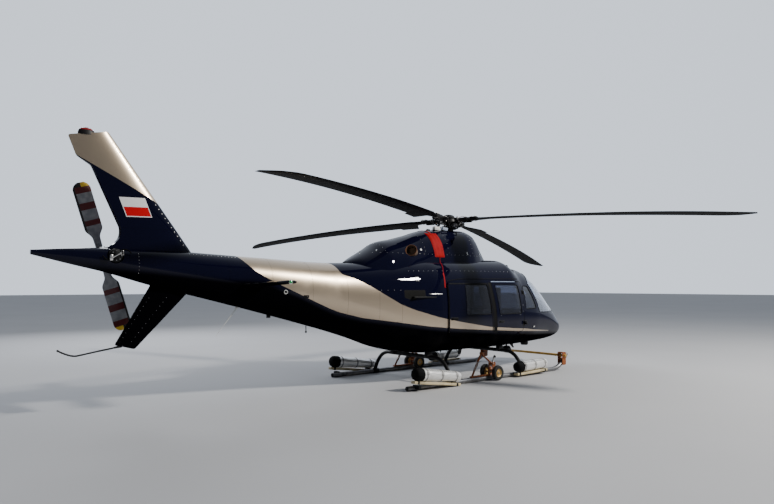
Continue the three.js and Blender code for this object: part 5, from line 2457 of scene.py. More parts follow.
@dataclass
class LandingGear(Assembly):
    """Cross tubes, skids, float bags and their boards."""

    skid_y: float = 1.075
    skid_radius: float = 0.042
    float_y: float = 1.195
    tube_radius: float = 0.036
    arch: float = 0.45
    shoulder: float = 0.64
    # length of each bag's aft end that is painted near black as painted shade
    bag_slack: float = 0.007
    cap_length: float = 0.17
    straps: tuple[float, ...] = (-0.29, 0.04, 0.37)
    bags: tuple[Bag, ...] = (
        Bag("rear", -1.47, 0.227, 1.1, 0.118, 0.094, 7.0, (-1.9, -1.13)),
        Bag("front", 1.095, 0.206, 0.93, 0.11, 0.102, -1.5, (0.7, 1.48)),
    )

    def at_bag(self, bag: Bag, side: Side) -> Matrix:
        """From a form about a bag's middle to its place."""
        turn = Matrix.Rotation(math.radians(bag.pitch), 4, "Y")
        return Matrix.Translation((bag.x, side.sign * self.float_y, bag.z)) @ turn

    def build_tubes(self) -> None:
        """The two arched cross tubes with saddles and clamps."""
        for end, x in (("rear", -1.0), ("front", 1.0)):
            half = [(0.0, self.arch), (0.3, self.arch), (0.5, self.arch)]
            curve = bezier(((0, self.shoulder, self.arch), (0, 0.93, self.arch), (0, self.skid_y, 0.082)), 14)
            half += [(p.y, p.z) for p in curve]
            path = [Vector((x, -y, z)) for y, z in reversed(half)] + [Vector((x, y, z)) for y, z in half[1:]]
            tube = Form().pipe(path, self.tube_radius, 24)
            for side in Side:
                y = side.sign * self.skid_y
                tube.rod(
                    (x - 0.07, y, self.skid_radius), (x + 0.07, y, self.skid_radius), 0.052, sides=32,
                    bevel=0.004,
                )
                tube.slice((0, 0, 0.0), (0, 0, -1))
                for k in (-0.055, 0.055):
                    tube.rod(
                        (x + k, y + side.sign * 0.04, 0.05), (x + k, y + side.sign * 0.04, 0.1), 0.007,
                        sides=6,
                    )
                y0, y1 = sorted((side.sign * 0.435, side.sign * 0.525))
                tube.box((x - 0.06, y0, self.arch - 0.02), (x + 0.06, y1, 0.54), 0.006)
                tube.box((x - 0.075, y0 - 0.01, 0.47), (x + 0.075, y1 + 0.01, 0.486), 0.004)
            self.put(tube, f"cross_tube_{end}_pipe", "black", Slot.BLACK_METAL, (f"cross_tube_{end}",))

    def build_skids(self) -> None:
        """The skid tubes with their turned-up toes, boards and brackets."""
        for side in Side:
            y = side.sign * self.skid_y
            r = self.skid_radius
            path = [Vector((-2.06 + 0.05 * k, y, r)) for k in range(81)]
            path += bezier(((1.95, y, r), (2.25, y, r), (2.44, y, 0.33)), 12)
            skid = Form().pipe(path, r, 24, finish=3)
            skid.rod((-2.072, y, r), (-2.058, y, r), 0.036, sides=24, bevel=0.006)
            for x0, x1 in ((-1.75, -1.2), (-0.75, -0.3), (0.75, 1.55)):
                skid.rod((x0, y, r - 0.001), (x1, y, r - 0.001), r, sides=20, finish=2)
            for bag in self.bags:
                top = -(bag.aft + bag.fore) / 2 - 0.006
                board = Form().box(
                    (-bag.length / 2, -0.048, top - 0.045), (bag.length / 2, 0.048, top), 0.004, finish=1,
                )
                for x in (-0.42, 0.42):
                    board.box(
                        (x * bag.length - 0.02, -0.054, top - 0.049),
                        (x * bag.length + 0.02, 0.054, top + 0.003), 0.003,
                    )
                skid.add(board, self.at_bag(bag, side))
                for x in bag.brackets:
                    inner = (x - 0.022, side.sign * (self.skid_y - 0.01), 0.03)
                    outer = (x + 0.022, side.sign * (self.float_y + 0.03), bag.z - bag.aft - 0.01)
                    skid.box(inner, outer, 0.004)
            skid.slice((0, 0, 0.0), (0, 0, -1))
            self.put(
                skid, f"skid_tube_{side.label}", "black cream steel tube_grey", Slot.BLACK_METAL,
                (f"skid_{side.label}",),
            )

    def bag_radius(self, bag: Bag, x: float) -> float:
        """A bag's radius at a place along it."""
        share = min(max((x + bag.length / 2 - 0.1) / (bag.length - 0.2), 0), 1)
        return bag.aft + (bag.fore - bag.aft) * share

    def bag_form(self, bag: Bag) -> Form:
        """One bag about its middle: a tapered roll that swells between its straps.

        Args:
            bag: The bag.

        Returns:
            The bag.
        """
        end, slack = bag.length / 2, self.bag_slack
        dome = ((0.0, 0.0), (0.3, 0.001), (0.62, 0.006), (0.84, 0.024), (0.96, 0.058), (1.0, 0.1))
        profile = [(share * (bag.aft - slack), inset - end) for share, inset in dome]
        for k in range(1, 12):
            x = -end + 0.1 + (bag.length - 0.2) * k / 12
            profile.append((self.bag_radius(bag, x) - slack, x))
        profile += [(share * (bag.fore - slack), end - inset) for share, inset in reversed(dome)]
        form = Form().lathe(profile, (0, 0, 0), (1, 0, 0), 48)
        straps = [share * bag.length for share in self.straps]
        form.swell(
            0.01, slack + 0.003, lambda p: any(abs(p.x - x) < 0.02 for x in straps) or abs(p.x) > end - 0.02
        )
        # Painted shade: a plane cuts off the aft end, which gets the near-black cloth
        bmesh.ops.bisect_plane(
            form.bm, geom=[*form.bm.verts, *form.bm.edges, *form.bm.faces],
            plane_co=(self.cap_length - end, 0, 0),
            plane_no=(1, 0, 0), dist=0.0005,
        )
        for v in form.bm.verts:
            turn = math.atan2(v.co.z, v.co.y)
            pucker = 0.0018 * math.sin(turn * 11 + v.co.x * 7) * math.sin(v.co.x * 23 + turn * 2)
            length = math.hypot(v.co.y, v.co.z)
            if length > 0.02:
                v.co.y *= 1 + pucker / length
                v.co.z *= 1 + pucker / length
        return form.paint_where(1, lambda f: f.calc_center_median().x < -end + self.cap_length)

    def bag_straps(self, bag: Bag, side: Side) -> Form:
        """The webbing round one bag, with buckles, and the lacing along its outer seam.

        Args:
            bag: The bag.
            side: The side of the body.

        Returns:
            Straps, buckles and lacing.
        """
        form = Form()
        for share in self.straps:
            x = share * bag.length
            r, w = self.bag_radius(bag, x) - self.bag_slack - 0.002, 0.013
            form.lathe(
                ((r, x - w), (r + 0.006, x - w + 0.001), (r + 0.006, x + w - 0.001), (r, x + w), (r, x - w)),
                (0, 0, 0), (1, 0, 0), 40,
            )
            turn = math.radians(20)
            out = Vector((0, side.sign * math.cos(turn), math.sin(turn)))
            form.plate(
                Vector((x, 0, 0)) + out * (r + 0.005), out, out.cross(Vector((1, 0, 0))),
                (0.055, 0.044, 0.008), finish=1,
            )
        points = []
        steps = int(bag.length * 0.72 / 0.024)
        for k in range(steps + 1):
            x = (-0.36 + 0.72 * k / steps) * bag.length
            turn = math.radians(48 + (7 if k % 2 else -7))
            r = self.bag_radius(bag, x) + 0.002
            points.append(Vector((x, side.sign * r * math.cos(turn), r * math.sin(turn))))
        return form.pipe(points, 0.0026, 6)

    def build_bags(self) -> None:
        """The four stowed bags with straps and lacing, their aft ends near black as painted shade."""
        for bag in self.bags:
            form = self.bag_form(bag)
            for side in Side:
                place, name = self.at_bag(bag, side), f"{bag.end}_{side.label}"
                piece = self.put(
                    form.copy().move(place), f"float_bag_{name}", "float_cloth cap_cloth", Slot.FLOAT_FABRIC,
                    (f"float_{name}",), crease=70,
                )
                self.put(
                    self.bag_straps(bag, side).move(place), f"float_straps_{name}", "grey_webbing steel",
                    Slot.FLOAT_FABRIC,
                )

    def build(self) -> None:
        """Builds the landing gear."""
        self.build_tubes()
        self.build_skids()
        self.build_bags()


@dataclass
class GroundGear(Assembly):
    """Twin handling wheels, their lever frames and the tow bar."""

    skid_y: float = 1.075
    wheel_x: float = 0.07
    wheel_z: float = 0.142
    inner: float = 0.925
    outer: float = 1.225

    def wheel(self, way: float) -> Form:
        """One wheel about zero, its axle along y and its dished face on one side.

        Args:
            way: 1 for the dished face to port, -1 to starboard.

        Returns:
            The wheel.
        """
        tyre = (
            (0.072, -0.026), (0.078, -0.034), (0.1, -0.038), (0.122, -0.036), (0.133, -0.026),
            (0.137, -0.012),
            (0.137, -0.004), (0.133, -0.003), (0.133, 0.003), (0.137, 0.004),
            (0.137, 0.012), (0.133, 0.026), (0.122, 0.036), (0.1, 0.038), (0.078, 0.034), (0.072, 0.026),
            (0.072, -0.026),
        )
        hub = (
            (0.0, 0.02), (0.03, 0.02), (0.034, 0.014), (0.056, 0.008), (0.066, 0.024), (0.074, 0.028),
            (0.076, 0.022), (0.076, -0.022), (0.074, -0.028), (0.066, -0.024), (0.056, -0.008),
            (0.034, -0.014),
            (0.03, -0.02), (0.0, -0.02),
        )
        form = Form().lathe(tyre, (0, 0, 0), (0, way, 0), 48).lathe(hub, (0, 0, 0), (0, way, 0), 40, finish=1)
        for x, z in circle(5, 0.045):
            form.rod((x, -0.014, z), (x, 0.014, z), 0.005, sides=6, finish=2)
        return form.rod((0, -0.026, 0), (0, 0.026, 0), 0.018, sides=24, bevel=0.003, finish=2)

    def build_wheels(self) -> None:
        """A wheel each side of the skid tube, on one axle."""
        for side in Side:
            pair = Form()
            for y in (self.inner, self.outer):
                pair.add(
                    self.wheel(side.sign), Matrix.Translation((self.wheel_x, side.sign * y, self.wheel_z)),
                )
            ends = [(self.wheel_x, side.sign * y, self.wheel_z) for y in (self.inner, self.outer)]
            pair.rod(ends[0], ends[1], 0.014, sides=24, finish=2)
            self.put(
                pair, f"handling_wheel_pair_{side.label}", "rubber gold steel", Slot.TYRE_RUBBER,
                (f"handling_wheels_{side.label}",), f"handling_wheels_{side.label}_body",
            )

    def build_carriers(self) -> None:
        """Clamp blocks, levers and springs over the skid tube."""
        for side in Side:
            y = side.sign * self.skid_y
            x = self.wheel_x
            frame = Form()
            for k in (-1, 1):
                plate = rounded(
                    ((x - 0.055, 0.06), (x + 0.055, 0.06), (x + 0.05, 0.33), (x - 0.03, 0.33)), 0.02, 4,
                )
                hole = Form().rod(
                    (x, y + k * 0.06, self.wheel_z), (x, y + k * 0.02, self.wheel_z), 0.021, sides=24,
                )
                frame.add(Form().slab(plate, y + k * 0.044, y + k * 0.052).cut(hole))
            frame.box((x - 0.05, y - 0.046, 0.17), (x + 0.05, y + 0.046, 0.19), 0.003)
            frame.box((x - 0.58, y - 0.028, 0.086), (x - 0.06, y + 0.028, 0.11), 0.004)
            for start, end, radius in (
                ((x - 0.545, y, 0.1), (x - 0.275, y, 0.53), 0.018),
                ((x - 0.29, y, 0.5), (x, y, 0.3), 0.016),
            ):
                frame.rod(start, end, radius, sides=20, bevel=0.003)
            frame.rod((x - 0.02, y, 0.25), (x + 0.09, y, 0.43), 0.018, sides=20, bevel=0.003, finish=2)
            for k in (-1, 1):
                for a, z in ((-0.034, 0.095), (0.034, 0.095), (0.0, 0.24), (-0.016, 0.31)):
                    frame.rod((x + a, y + k * 0.04, z), (x + a, y + k * 0.059, z), 0.009, sides=6, finish=2)
            foot, way = Vector((x - 0.485, y, 0.196)), Vector((0.532, 0, 0.847))
            across, port = Vector((-0.847, 0, 0.532)), Vector((0, 0.023, 0))
            coil = [
                foot + way * 0.0018 * t + across * 0.023 * math.cos(t * 0.8) + port * math.sin(t * 0.8)
                for t in range(110)
            ]
            frame.pipe(coil, 0.0032, 6, finish=2)
            frame.rod(
                (x - 0.275, y - 0.035, 0.505), (x - 0.275, y + 0.035, 0.505), 0.026, sides=24, bevel=0.004,
            )
            frame.rod((x, y - 0.055, 0.296), (x, y + 0.055, 0.296), 0.022, sides=24, bevel=0.004)
            frame.rod((x + 0.072, y, 0.4), (x + 0.096, y, 0.44), 0.024, sides=20, bevel=0.005, finish=1)
            self.put(
                frame, f"wheel_lever_frame_{side.label}", "orange black bright", Slot.ORANGE_PAINT,
                (f"wheel_carrier_{side.label}",),
            )

    def build_tow_bar(self) -> None:
        """The bar across the toes with its clamps."""
        bar = Form().rod((2.29, -1.18, 0.3), (2.29, 1.18, 0.3), 0.026, sides=32, bevel=0.004)
        for side in Side:
            y = side.sign * self.skid_y
            for k in (-1, 1):
                outline = rounded(((2.23, 0.105), (2.35, 0.105), (2.35, 0.37), (2.23, 0.37)), 0.03, 4)
                bar.add(Form().slab(outline, y + k * 0.05, y + k * 0.062, 1))
            bar.box((2.232, y - 0.05, 0.342), (2.348, y + 0.05, 0.368), 0.006, finish=1)
            bar.rod((2.29, y - 0.072, 0.225), (2.29, y + 0.072, 0.225), 0.01, sides=16, finish=1)
            bar.rod((2.25, y, 0.368), (2.25, y, 0.369), 0.008, sides=12, finish=1)
        self.put(bar, "tow_bar_tube", "yellow orange", Slot.YELLOW_PAINT, ("tow_bar",))

    def build(self) -> None:
        """Builds the ground gear."""
        self.build_wheels()
        self.build_carriers()
        self.build_tow_bar()


@dataclass
class Cabin(Assembly):
    """What shows through the glass: seats, bench, instrument panel and controls."""

    cap: float = 0.01

    def cushion(self, size: Point, crown: float) -> Form:
        """A crowned cushion about zero, with pulled-in sides and sewn channels.

        Args:
            size: Its depth, width and height.
            crown: How far its middle stands above its edges.

        Returns:
            The cushion, a little slack where it will swell.
        """
        slack = self.cap * 0.8
        half = [max(length / 2 - slack, 0.01) for length in size]
        form = Form()
        bmesh.ops.create_cube(form.bm, size=2)
        bmesh.ops.subdivide_edges(form.bm, edges=form.bm.edges[:], cuts=9, use_grid_fill=True)
        for v in form.bm.verts:
            u, w, h = v.co
            swell = (1 - abs(u) ** 4) * (1 - abs(w) ** 4)
            edge = 1 - 0.05 * (abs(u) ** 6 + abs(w) ** 6)
            channel = 0.12 * crown * (math.cos(u * math.pi * 4) - 1) * swell
            depth = half[2] - crown + crown * swell + channel
            v.co = Vector((u * half[0] * edge, w * half[1] * edge, h * depth))
        bmesh.ops.recalc_face_normals(form.bm, faces=form.bm.faces)
        return form

    def build_controls(self) -> None:
        """Sticks, pedals, belts, the shade over the panel and the switch panel under the roof."""
        form = Form()
        for side in Side:
            y = side.sign * 0.37
            form.pipe(bezier(((1.62, y, 0.806), (1.64, y, 0.96), (1.56, y, 1.13)), 8), 0.011, 12)
            form.ball((1.555, y, 1.15), (0.022, 0.02, 0.045))
            form.pipe([Vector((1.1, y - 0.245, 0.83)), Vector((1.36, y - 0.245, 0.96))], 0.013, 12)
            form.ball((1.38, y - 0.245, 0.97), (0.05, 0.02, 0.022))
            for k in (-0.1, 0.1):
                form.box((2.08, y + k - 0.045, 0.87), (2.095, y + k + 0.045, 0.96), 0.004)
                form.rod((2.092, y + k, 0.806), (2.092, y + k, 0.88), 0.009, sides=12)
                form.box(
                    (0.992, y + k * 0.9 - 0.022, 1.18), (0.996, y + k * 0.9 + 0.022, 1.7), 0.001, finish=1,
                )
            form.box((1.215, y - 0.225, 1.136), (1.26, y + 0.225, 1.141), 0.001, finish=1)
            form.box((1.205, y - 0.03, 1.139), (1.27, y + 0.03, 1.153), 0.004, finish=2)
        for k in (-1, 0, 1):
            for j in (-0.09, 0.09):
                y = 0.395 * k + j
                form.box((-0.744, y - 0.022, 1.2), (-0.74, y + 0.022, 1.74), 0.001, finish=1)
        hood = rounded(((2.07, 1.226), (2.35, 1.226), (2.35, 1.246), (2.09, 1.258), (2.05, 1.236)), 0.008, 3)
        form.slab(hood, -0.44, 0.44)
        form.box((1.15, -0.13, 1.925), (1.62, 0.13, 1.965), 0.01)
        for x in range(6):
            for y in range(3):
                place = Vector((1.19 + 0.075 * x, -0.08 + 0.08 * y, 1.925))
                form.rod(place, place - Vector((0, 0, 0.014)), 0.008, sides=8, finish=2)
        self.put(form, "cabin_controls", "plastic webbing bright", Slot.DARK_PLASTIC)

    def build(self) -> None:
        """Builds seats, bench, panel and controls."""
        self.build_controls()
        size, tall = (0.418, 0.444, 0.108), (0.095, 0.43, 0.61)
        base = self.cushion(size, 0.016).swell(0.011, self.cap)
        back = self.cushion(tall, 0.014).swell(0.011, self.cap)
        for side in Side:
            y = side.sign * 0.37
            seat = base.copy().move(Matrix.Translation((1.229, y, 1.074)))
            seat.add(back, Matrix.Translation((0.9375, y, 1.435)))
            seat.box((1.03, y - 0.2, 0.802), (1.4, y + 0.2, 1.02), 0.02, finish=1)
            seat.box((0.87, y - 0.205, 1.01), (0.912, y + 0.205, 1.7), 0.015, finish=1)
            piece = self.put(
                seat, f"pilot_seat_{side.label}", "leather plastic", Slot.SEAT_LEATHER,
                (f"seat_front_{side.label}",), crease=60,
            )
        bench = Form()
        base = self.cushion((0.458, 0.43, 0.108), 0.016).swell(0.012, self.cap)
        back = self.cushion((0.095, 0.39, 0.635), 0.014).swell(0.012, self.cap)
        for k in (-1, 0, 1):
            bench.add(base, Matrix.Translation((-0.561, 0.435 * k, 1.094)))
            bench.add(back, Matrix.Translation((-0.7975, 0.395 * k, 1.4675)))
        bench.box((-0.79, -0.64, 0.802), (-0.36, 0.64, 1.04), 0.02, finish=1)
        piece = self.put(
            bench, "bench_seat", "leather plastic", Slot.SEAT_LEATHER, ("rear_bench",), crease=60,
        )
        panel = Form().box((2.2, -0.418, 0.802), (2.365, 0.418, 1.228), 0.02)
        panel.box((1.755, -0.108, 0.802), (2.205, 0.108, 0.978), 0.014)
        for y in (-0.26, 0.0, 0.26):
            panel.box((2.192, y - 0.095, 1.0), (2.201, y + 0.095, 1.19), 0.003, finish=1)
        self.put(panel, "instrument_console", "plastic screen", Slot.DARK_PLASTIC, ("instrument_panel",))


@dataclass(frozen=True)
class Handle:
    """A door handle: the middle of its grip and its length."""

    x: float
    z: float
    length: float


@dataclass
class DoorFittings(Assembly):
    """Hinges, handles, edge strips, gutters and the black panel between the doors."""

    slide: dict[Side, float]
    hinge_x: float = 1.4
    hinge_heights: tuple[float, float] = (1.0, 1.62)
    knuckle: float = 0.013
    leaf: float = 0.036
    rear_skin: float = 0.036
    front_handle: Handle = Handle(0.66, 1.05, 0.11)
    rear_handle: Handle = Handle(-0.58, 1.15, 0.14)

    def hinge_point(self, z: float, side: Side) -> Vector:
        """A point on a front door's hinge line."""
        return Vector((self.hinge_x, side.sign * (0.85 - 0.12 * (z - 1.1)), z))

    def half_hinges(self, side: Side, way: int) -> Form:
        """One half of each hinge of a front door.

        Args:
            side: The side of the body.
            way: 1 for the leaves on the frame, -1 for those on the door.

        Returns:
            Leaves, arms and half barrels.
        """
        form = Form()
        for z in self.hinge_heights:
            low, high = sorted((z - way * 0.001, z - way * 0.034))
            form.rod(
                self.hinge_point(low, side), self.hinge_point(high, side), self.knuckle, sides=20,
                bevel=0.002,
            )
            x = self.hinge_x + way * self.leaf
            inner = (self.hinge_x + way * 0.004, HULL.skin(x, z, side, -0.004).y, low)
            form.box(inner, (x, self.hinge_point(z, side).y, high), 0.003)
            skin, normal = HULL.at(x, z, side)
            form.plate(skin, normal, (0, 0, 1), (0.11, 0.034, 0.004))
            heads = [(HULL.skin(x, z + k, side, 0.004), normal) for k in (-0.045, 0.045)]
            form.studs(heads, 0.006, 0.003, finish=1)
        return form

    def grip(self, handle: Handle, side: Side, out: float) -> Form:
        """A bar handle that stands off a dark pan on a door's skin.

        Args:
            handle: The handle.
            side: The side of the body.
            out: How far outside the skin.

        Returns:
            The handle and its pan.
        """
        x, z, half = handle.x, handle.z, handle.length / 2
        form = Form().plate(
            HULL.skin(x, z, side, out), HULL.normal(x, z, side), (1, 0, 0),
            (handle.length + 0.05, 0.052, 0.003),
            finish=1,
        )
        stations = ((-half, 0.0), (-half + 0.008, 0.018), (half - 0.008, 0.018), (half, 0.0))
        form.pipe([HULL.skin(x + a, z, side, out + lift) for a, lift in stations], 0.0065, 10)
        return form

    def build_fronts(self, side: Side) -> None:
        """The fittings of one front door and its frame.

        Args:
            side: The side of the body.
        """
        body = f"door_front_{side.label}_body"
        door = self.half_hinges(side, -1)
        door.add(self.grip(self.front_handle, side, 0.0))
        heads = ((1.363, 1.361), (1.355, 1.239), (0.65, 1.17), (1.255, 1.17))
        door.studs([HULL.at(x, z, side) for x, z in heads], 0.009, 0.004, finish=2)
        self.put(
            door, f"front_door_fittings_{side.label}", "black plastic bright", Slot.BLACK_METAL, body=body,
        )
        self.put(
            self.half_hinges(side, 1), f"front_door_hinge_leaves_{side.label}", "black steel",
            Slot.BLACK_METAL,
        )

    def build_rears(self, side: Side) -> None:
        """The black edge strip and the handle of one rear door.

        Args:
            side: The side of the body.
        """
        edge = ((-0.67, 1.795), (0.365, 1.795), (0.4, 1.6), (0.466, 1.25), (0.494, 0.865))
        points, normals = HULL.line(edge, 0.03, side, self.rear_skin)
        form = Form().strip(points, normals, 0.026, 0.003)
        form.add(self.grip(self.rear_handle, side, self.rear_skin))
        form.move(Matrix.Translation((self.slide[side], 0, 0)))
        self.put(
            form, f"rear_door_fittings_{side.label}", "seal plastic", Slot.BLACK_METAL,
            body=f"door_rear_{side.label}_body",
        )

    def build_frame(self, side: Side) -> None:
        """The panel between the doors, the gutter, and the windshield's seal.

        Args:
            side: The side of the body.
        """
        outline = (
            (0.444, 0.85), (0.534, 0.85), (0.502, 1.28), (0.434, 1.6), (0.4, 1.815), (0.32, 1.815),
            (0.348, 1.6), (0.414, 1.25),
        )
        cutter = Form().slab(rounded(outline, 0.012, 3), side.sign * 0.3, side.sign * 1.5)
        panel = HULL.shell(0.25, 0.6, 0.001, -0.004).keep(cutter)
        self.put(panel, f"door_pillar_panel_{side.label}", "seal", Slot.BLACK_METAL)
        roof = ((-0.8, 1.845), (-0.62, 1.862), (-0.45, 1.882), (0.4, 1.888), (1.3, 1.893))
        gutter = Form().pipe(HULL.line(roof, 0.05, side, 0.001)[0], 0.008, 10)
        rear_edge = ((3.04, 1.198), (2.03, 1.2), (1.73, 1.8), (1.93, 2.02))
        gutter.pipe(HULL.line(rear_edge, 0.03, side)[0], 0.009, 8, 0.6)
        post = [HULL.over(1.96 + 0.03 * k, side.sign * 0.026, 0.001) for k in range(38)]
        gutter.pipe(post, 0.007, 8, 0.6)
        self.put(gutter, f"roof_gutter_{side.label}", "seal", Slot.BLACK_METAL)

    def build(self) -> None:
        """Builds the fittings of all four doors."""
        for side in Side:
            self.build_fronts(side)
            self.build_rears(side)
            self.build_frame(side)


@dataclass
class DeckFittings(Assembly):
    """Fasteners, catches and caps of the cowls, the cover's strap and its red ribbon."""

    ribbon_width: float = 0.03
    ribbon_length: float = 0.3
    row_height: float = 2.345

    def build_fasteners(self) -> None:
        """Quarter-turn fasteners in rows and arcs, with their catches."""
        rows = ((-2.35, -1.6), (-1.2, -0.88), (-0.48, 0.85))
        for side in Side:
            form = Form()
            for start, end in rows:
                form.studs(
                    COWL.row(((start, self.row_height), (end, self.row_height)), 0.115, side), 0.0065, 0.004,
                )
            for x in (-1.93, -1.04, -0.42, 0.27):
                form.studs(girth(COWL, x, 0.085, 2.38, side), 0.006, 0.004)
            for x in (-2.05, -1.28, 0.1, 0.55):
                form.plate(*COWL.at(x, 2.385, side), (0, 0, 1), (0.05, 0.02, 0.005))
            cap, way = COWL.at(-1.148, 2.42, side)
            form.rod(cap, cap + way * 0.008, 0.022, sides=24, bevel=0.002, finish=1)
            self.put(form, f"cowl_fasteners_{side.label}", "bright white", Slot.BARE_STEEL)

    def build_strap(self) -> None:
        """The red strap over the cowl that ties the two intake covers together."""
        ring = [p for p in COWL.ring(-0.715, 0.001, 240) if p.z > 2.735]
        ways = [(ring[min(i + 1, len(ring) - 1)] - ring[max(i - 1, 0)]).cross(Vector((1, 0, 0)))
                for i in range(len(ring))]
        strap = Form().strip(ring, ways, 0.045, 0.003)
        side = Side.RIGHT
        down = [COWL.skin(-0.7, 2.305, side, 0.016), COWL.skin(-0.703, 2.25, side, 0.006)]
        normals = [COWL.normal(-0.7, 2.28, side)] * 2
        for x, y in ((-0.715, -0.51), (-0.735, -0.57), (-0.765, -0.625), (-0.795, -0.665)):
            down.append(HULL.over(x, y, 0.004))
            normals.append(HULL.normal(x, min(down[-1].z, 2.25), side))
        down.append(HULL.skin(-0.823, 1.992, side, 0.004))
        normals.append(HULL.normal(-0.823, 1.992, side))
        strap.strip(down, normals, 0.012, 0.002)
        self.put(strap, "cover_strap", "red_cloth", Slot.RED_FABRIC, (), crease=60)

    def build_ribbon(self) -> None:
        """The red ribbon that hangs from the strap down the starboard side."""
        steps, side = 30, Side.RIGHT
        points, normals = [], []
        for k in range(steps + 1):
            t = k / steps
            x, z = -0.823 - 0.05 * t, 1.99 - 0.27 * t
            out = 0.002 + 0.0009 * t * (1 - math.cos(16.0 * t))
            normal = HULL.normal(x, z, side)
            points.append(HULL.skin(x, z, side) + normal * out)
            normals.append(normal + Vector((0.05 * t * math.sin(8.0 * t), 0, 0)))
        form = Form().strip(points, normals, self.ribbon_width, 0.0008)
        piece = self.put(form, "red_ribbon", "red_cloth", Slot.RED_FABRIC, (), crease=70)

    def build_crown(self) -> None:
        """The collar where the mast leaves the fairing, and the caps behind it, one white and one blue-grey
        as painted sky reflection.
        """
        up = Rotor.disc_up()
        base = Vector((Rotor.ahead, 0, Rotor.height)) - up * 0.43
        profile = (
            (0.129, -0.05), (0.158, -0.05), (0.158, 0.04), (0.15, 0.046), (0.134, 0.046), (0.129, 0.04),
            (0.129, -0.05),
        )
        form = Form().lathe(profile, base, up, 48)
        for ahead, port in circle(12, 0.144):
            place = base + Vector((ahead, port, 0.044))
            form.rod(place, place + up * 0.007, 0.006, sides=6)
        # Painted reflection: the white and the blue-grey cap stand for sky reflected on the tops behind the
        # mast
        for x, y, size, finish in (
            (-0.37, -0.05, (0.15, 0.085, 0.075), 1), (-0.2, -0.105, (0.15, 0.075, 0.062), 2),
            (-0.5, 0.04, (0.08, 0.06, 0.03), 0),
        ):
            top = max(p.z for p in COWL.ring(x, 0.0, 120) if abs(p.y - y) < 0.04)
            out = Vector((0.05, y, 1)).normalized()
            form.plate((x, y, top - 0.004), out, (1, 0, 0), (size[0] + 0.024, size[1] + 0.024, 0.007), 0.002)
            form.plate((x, y, top), out, (1, 0, 0), size, 0.016, finish)
            form.plate(
                Vector((x, y, top)) + out * (size[2] - 0.002), out, (1, 0, 0),
                (size[0] * 0.6, size[1] * 0.5, 0.006),
            )
            for j, k in ((-1, -1), (-1, 1), (1, -1), (1, 1)):
                foot = Vector((x + j * (size[0] / 2 + 0.006), y + k * (size[1] / 2 + 0.006), top))
                form.rod(foot, foot + out * 0.009, 0.005, sides=6)
        self.put(form, "deck_caps", "black white sky_grey", Slot.BLACK_METAL)

    def build(self) -> None:
        """Builds the deck's fittings."""
        self.build_crown()
        self.build_fasteners()
        self.build_strap()
        self.build_ribbon()


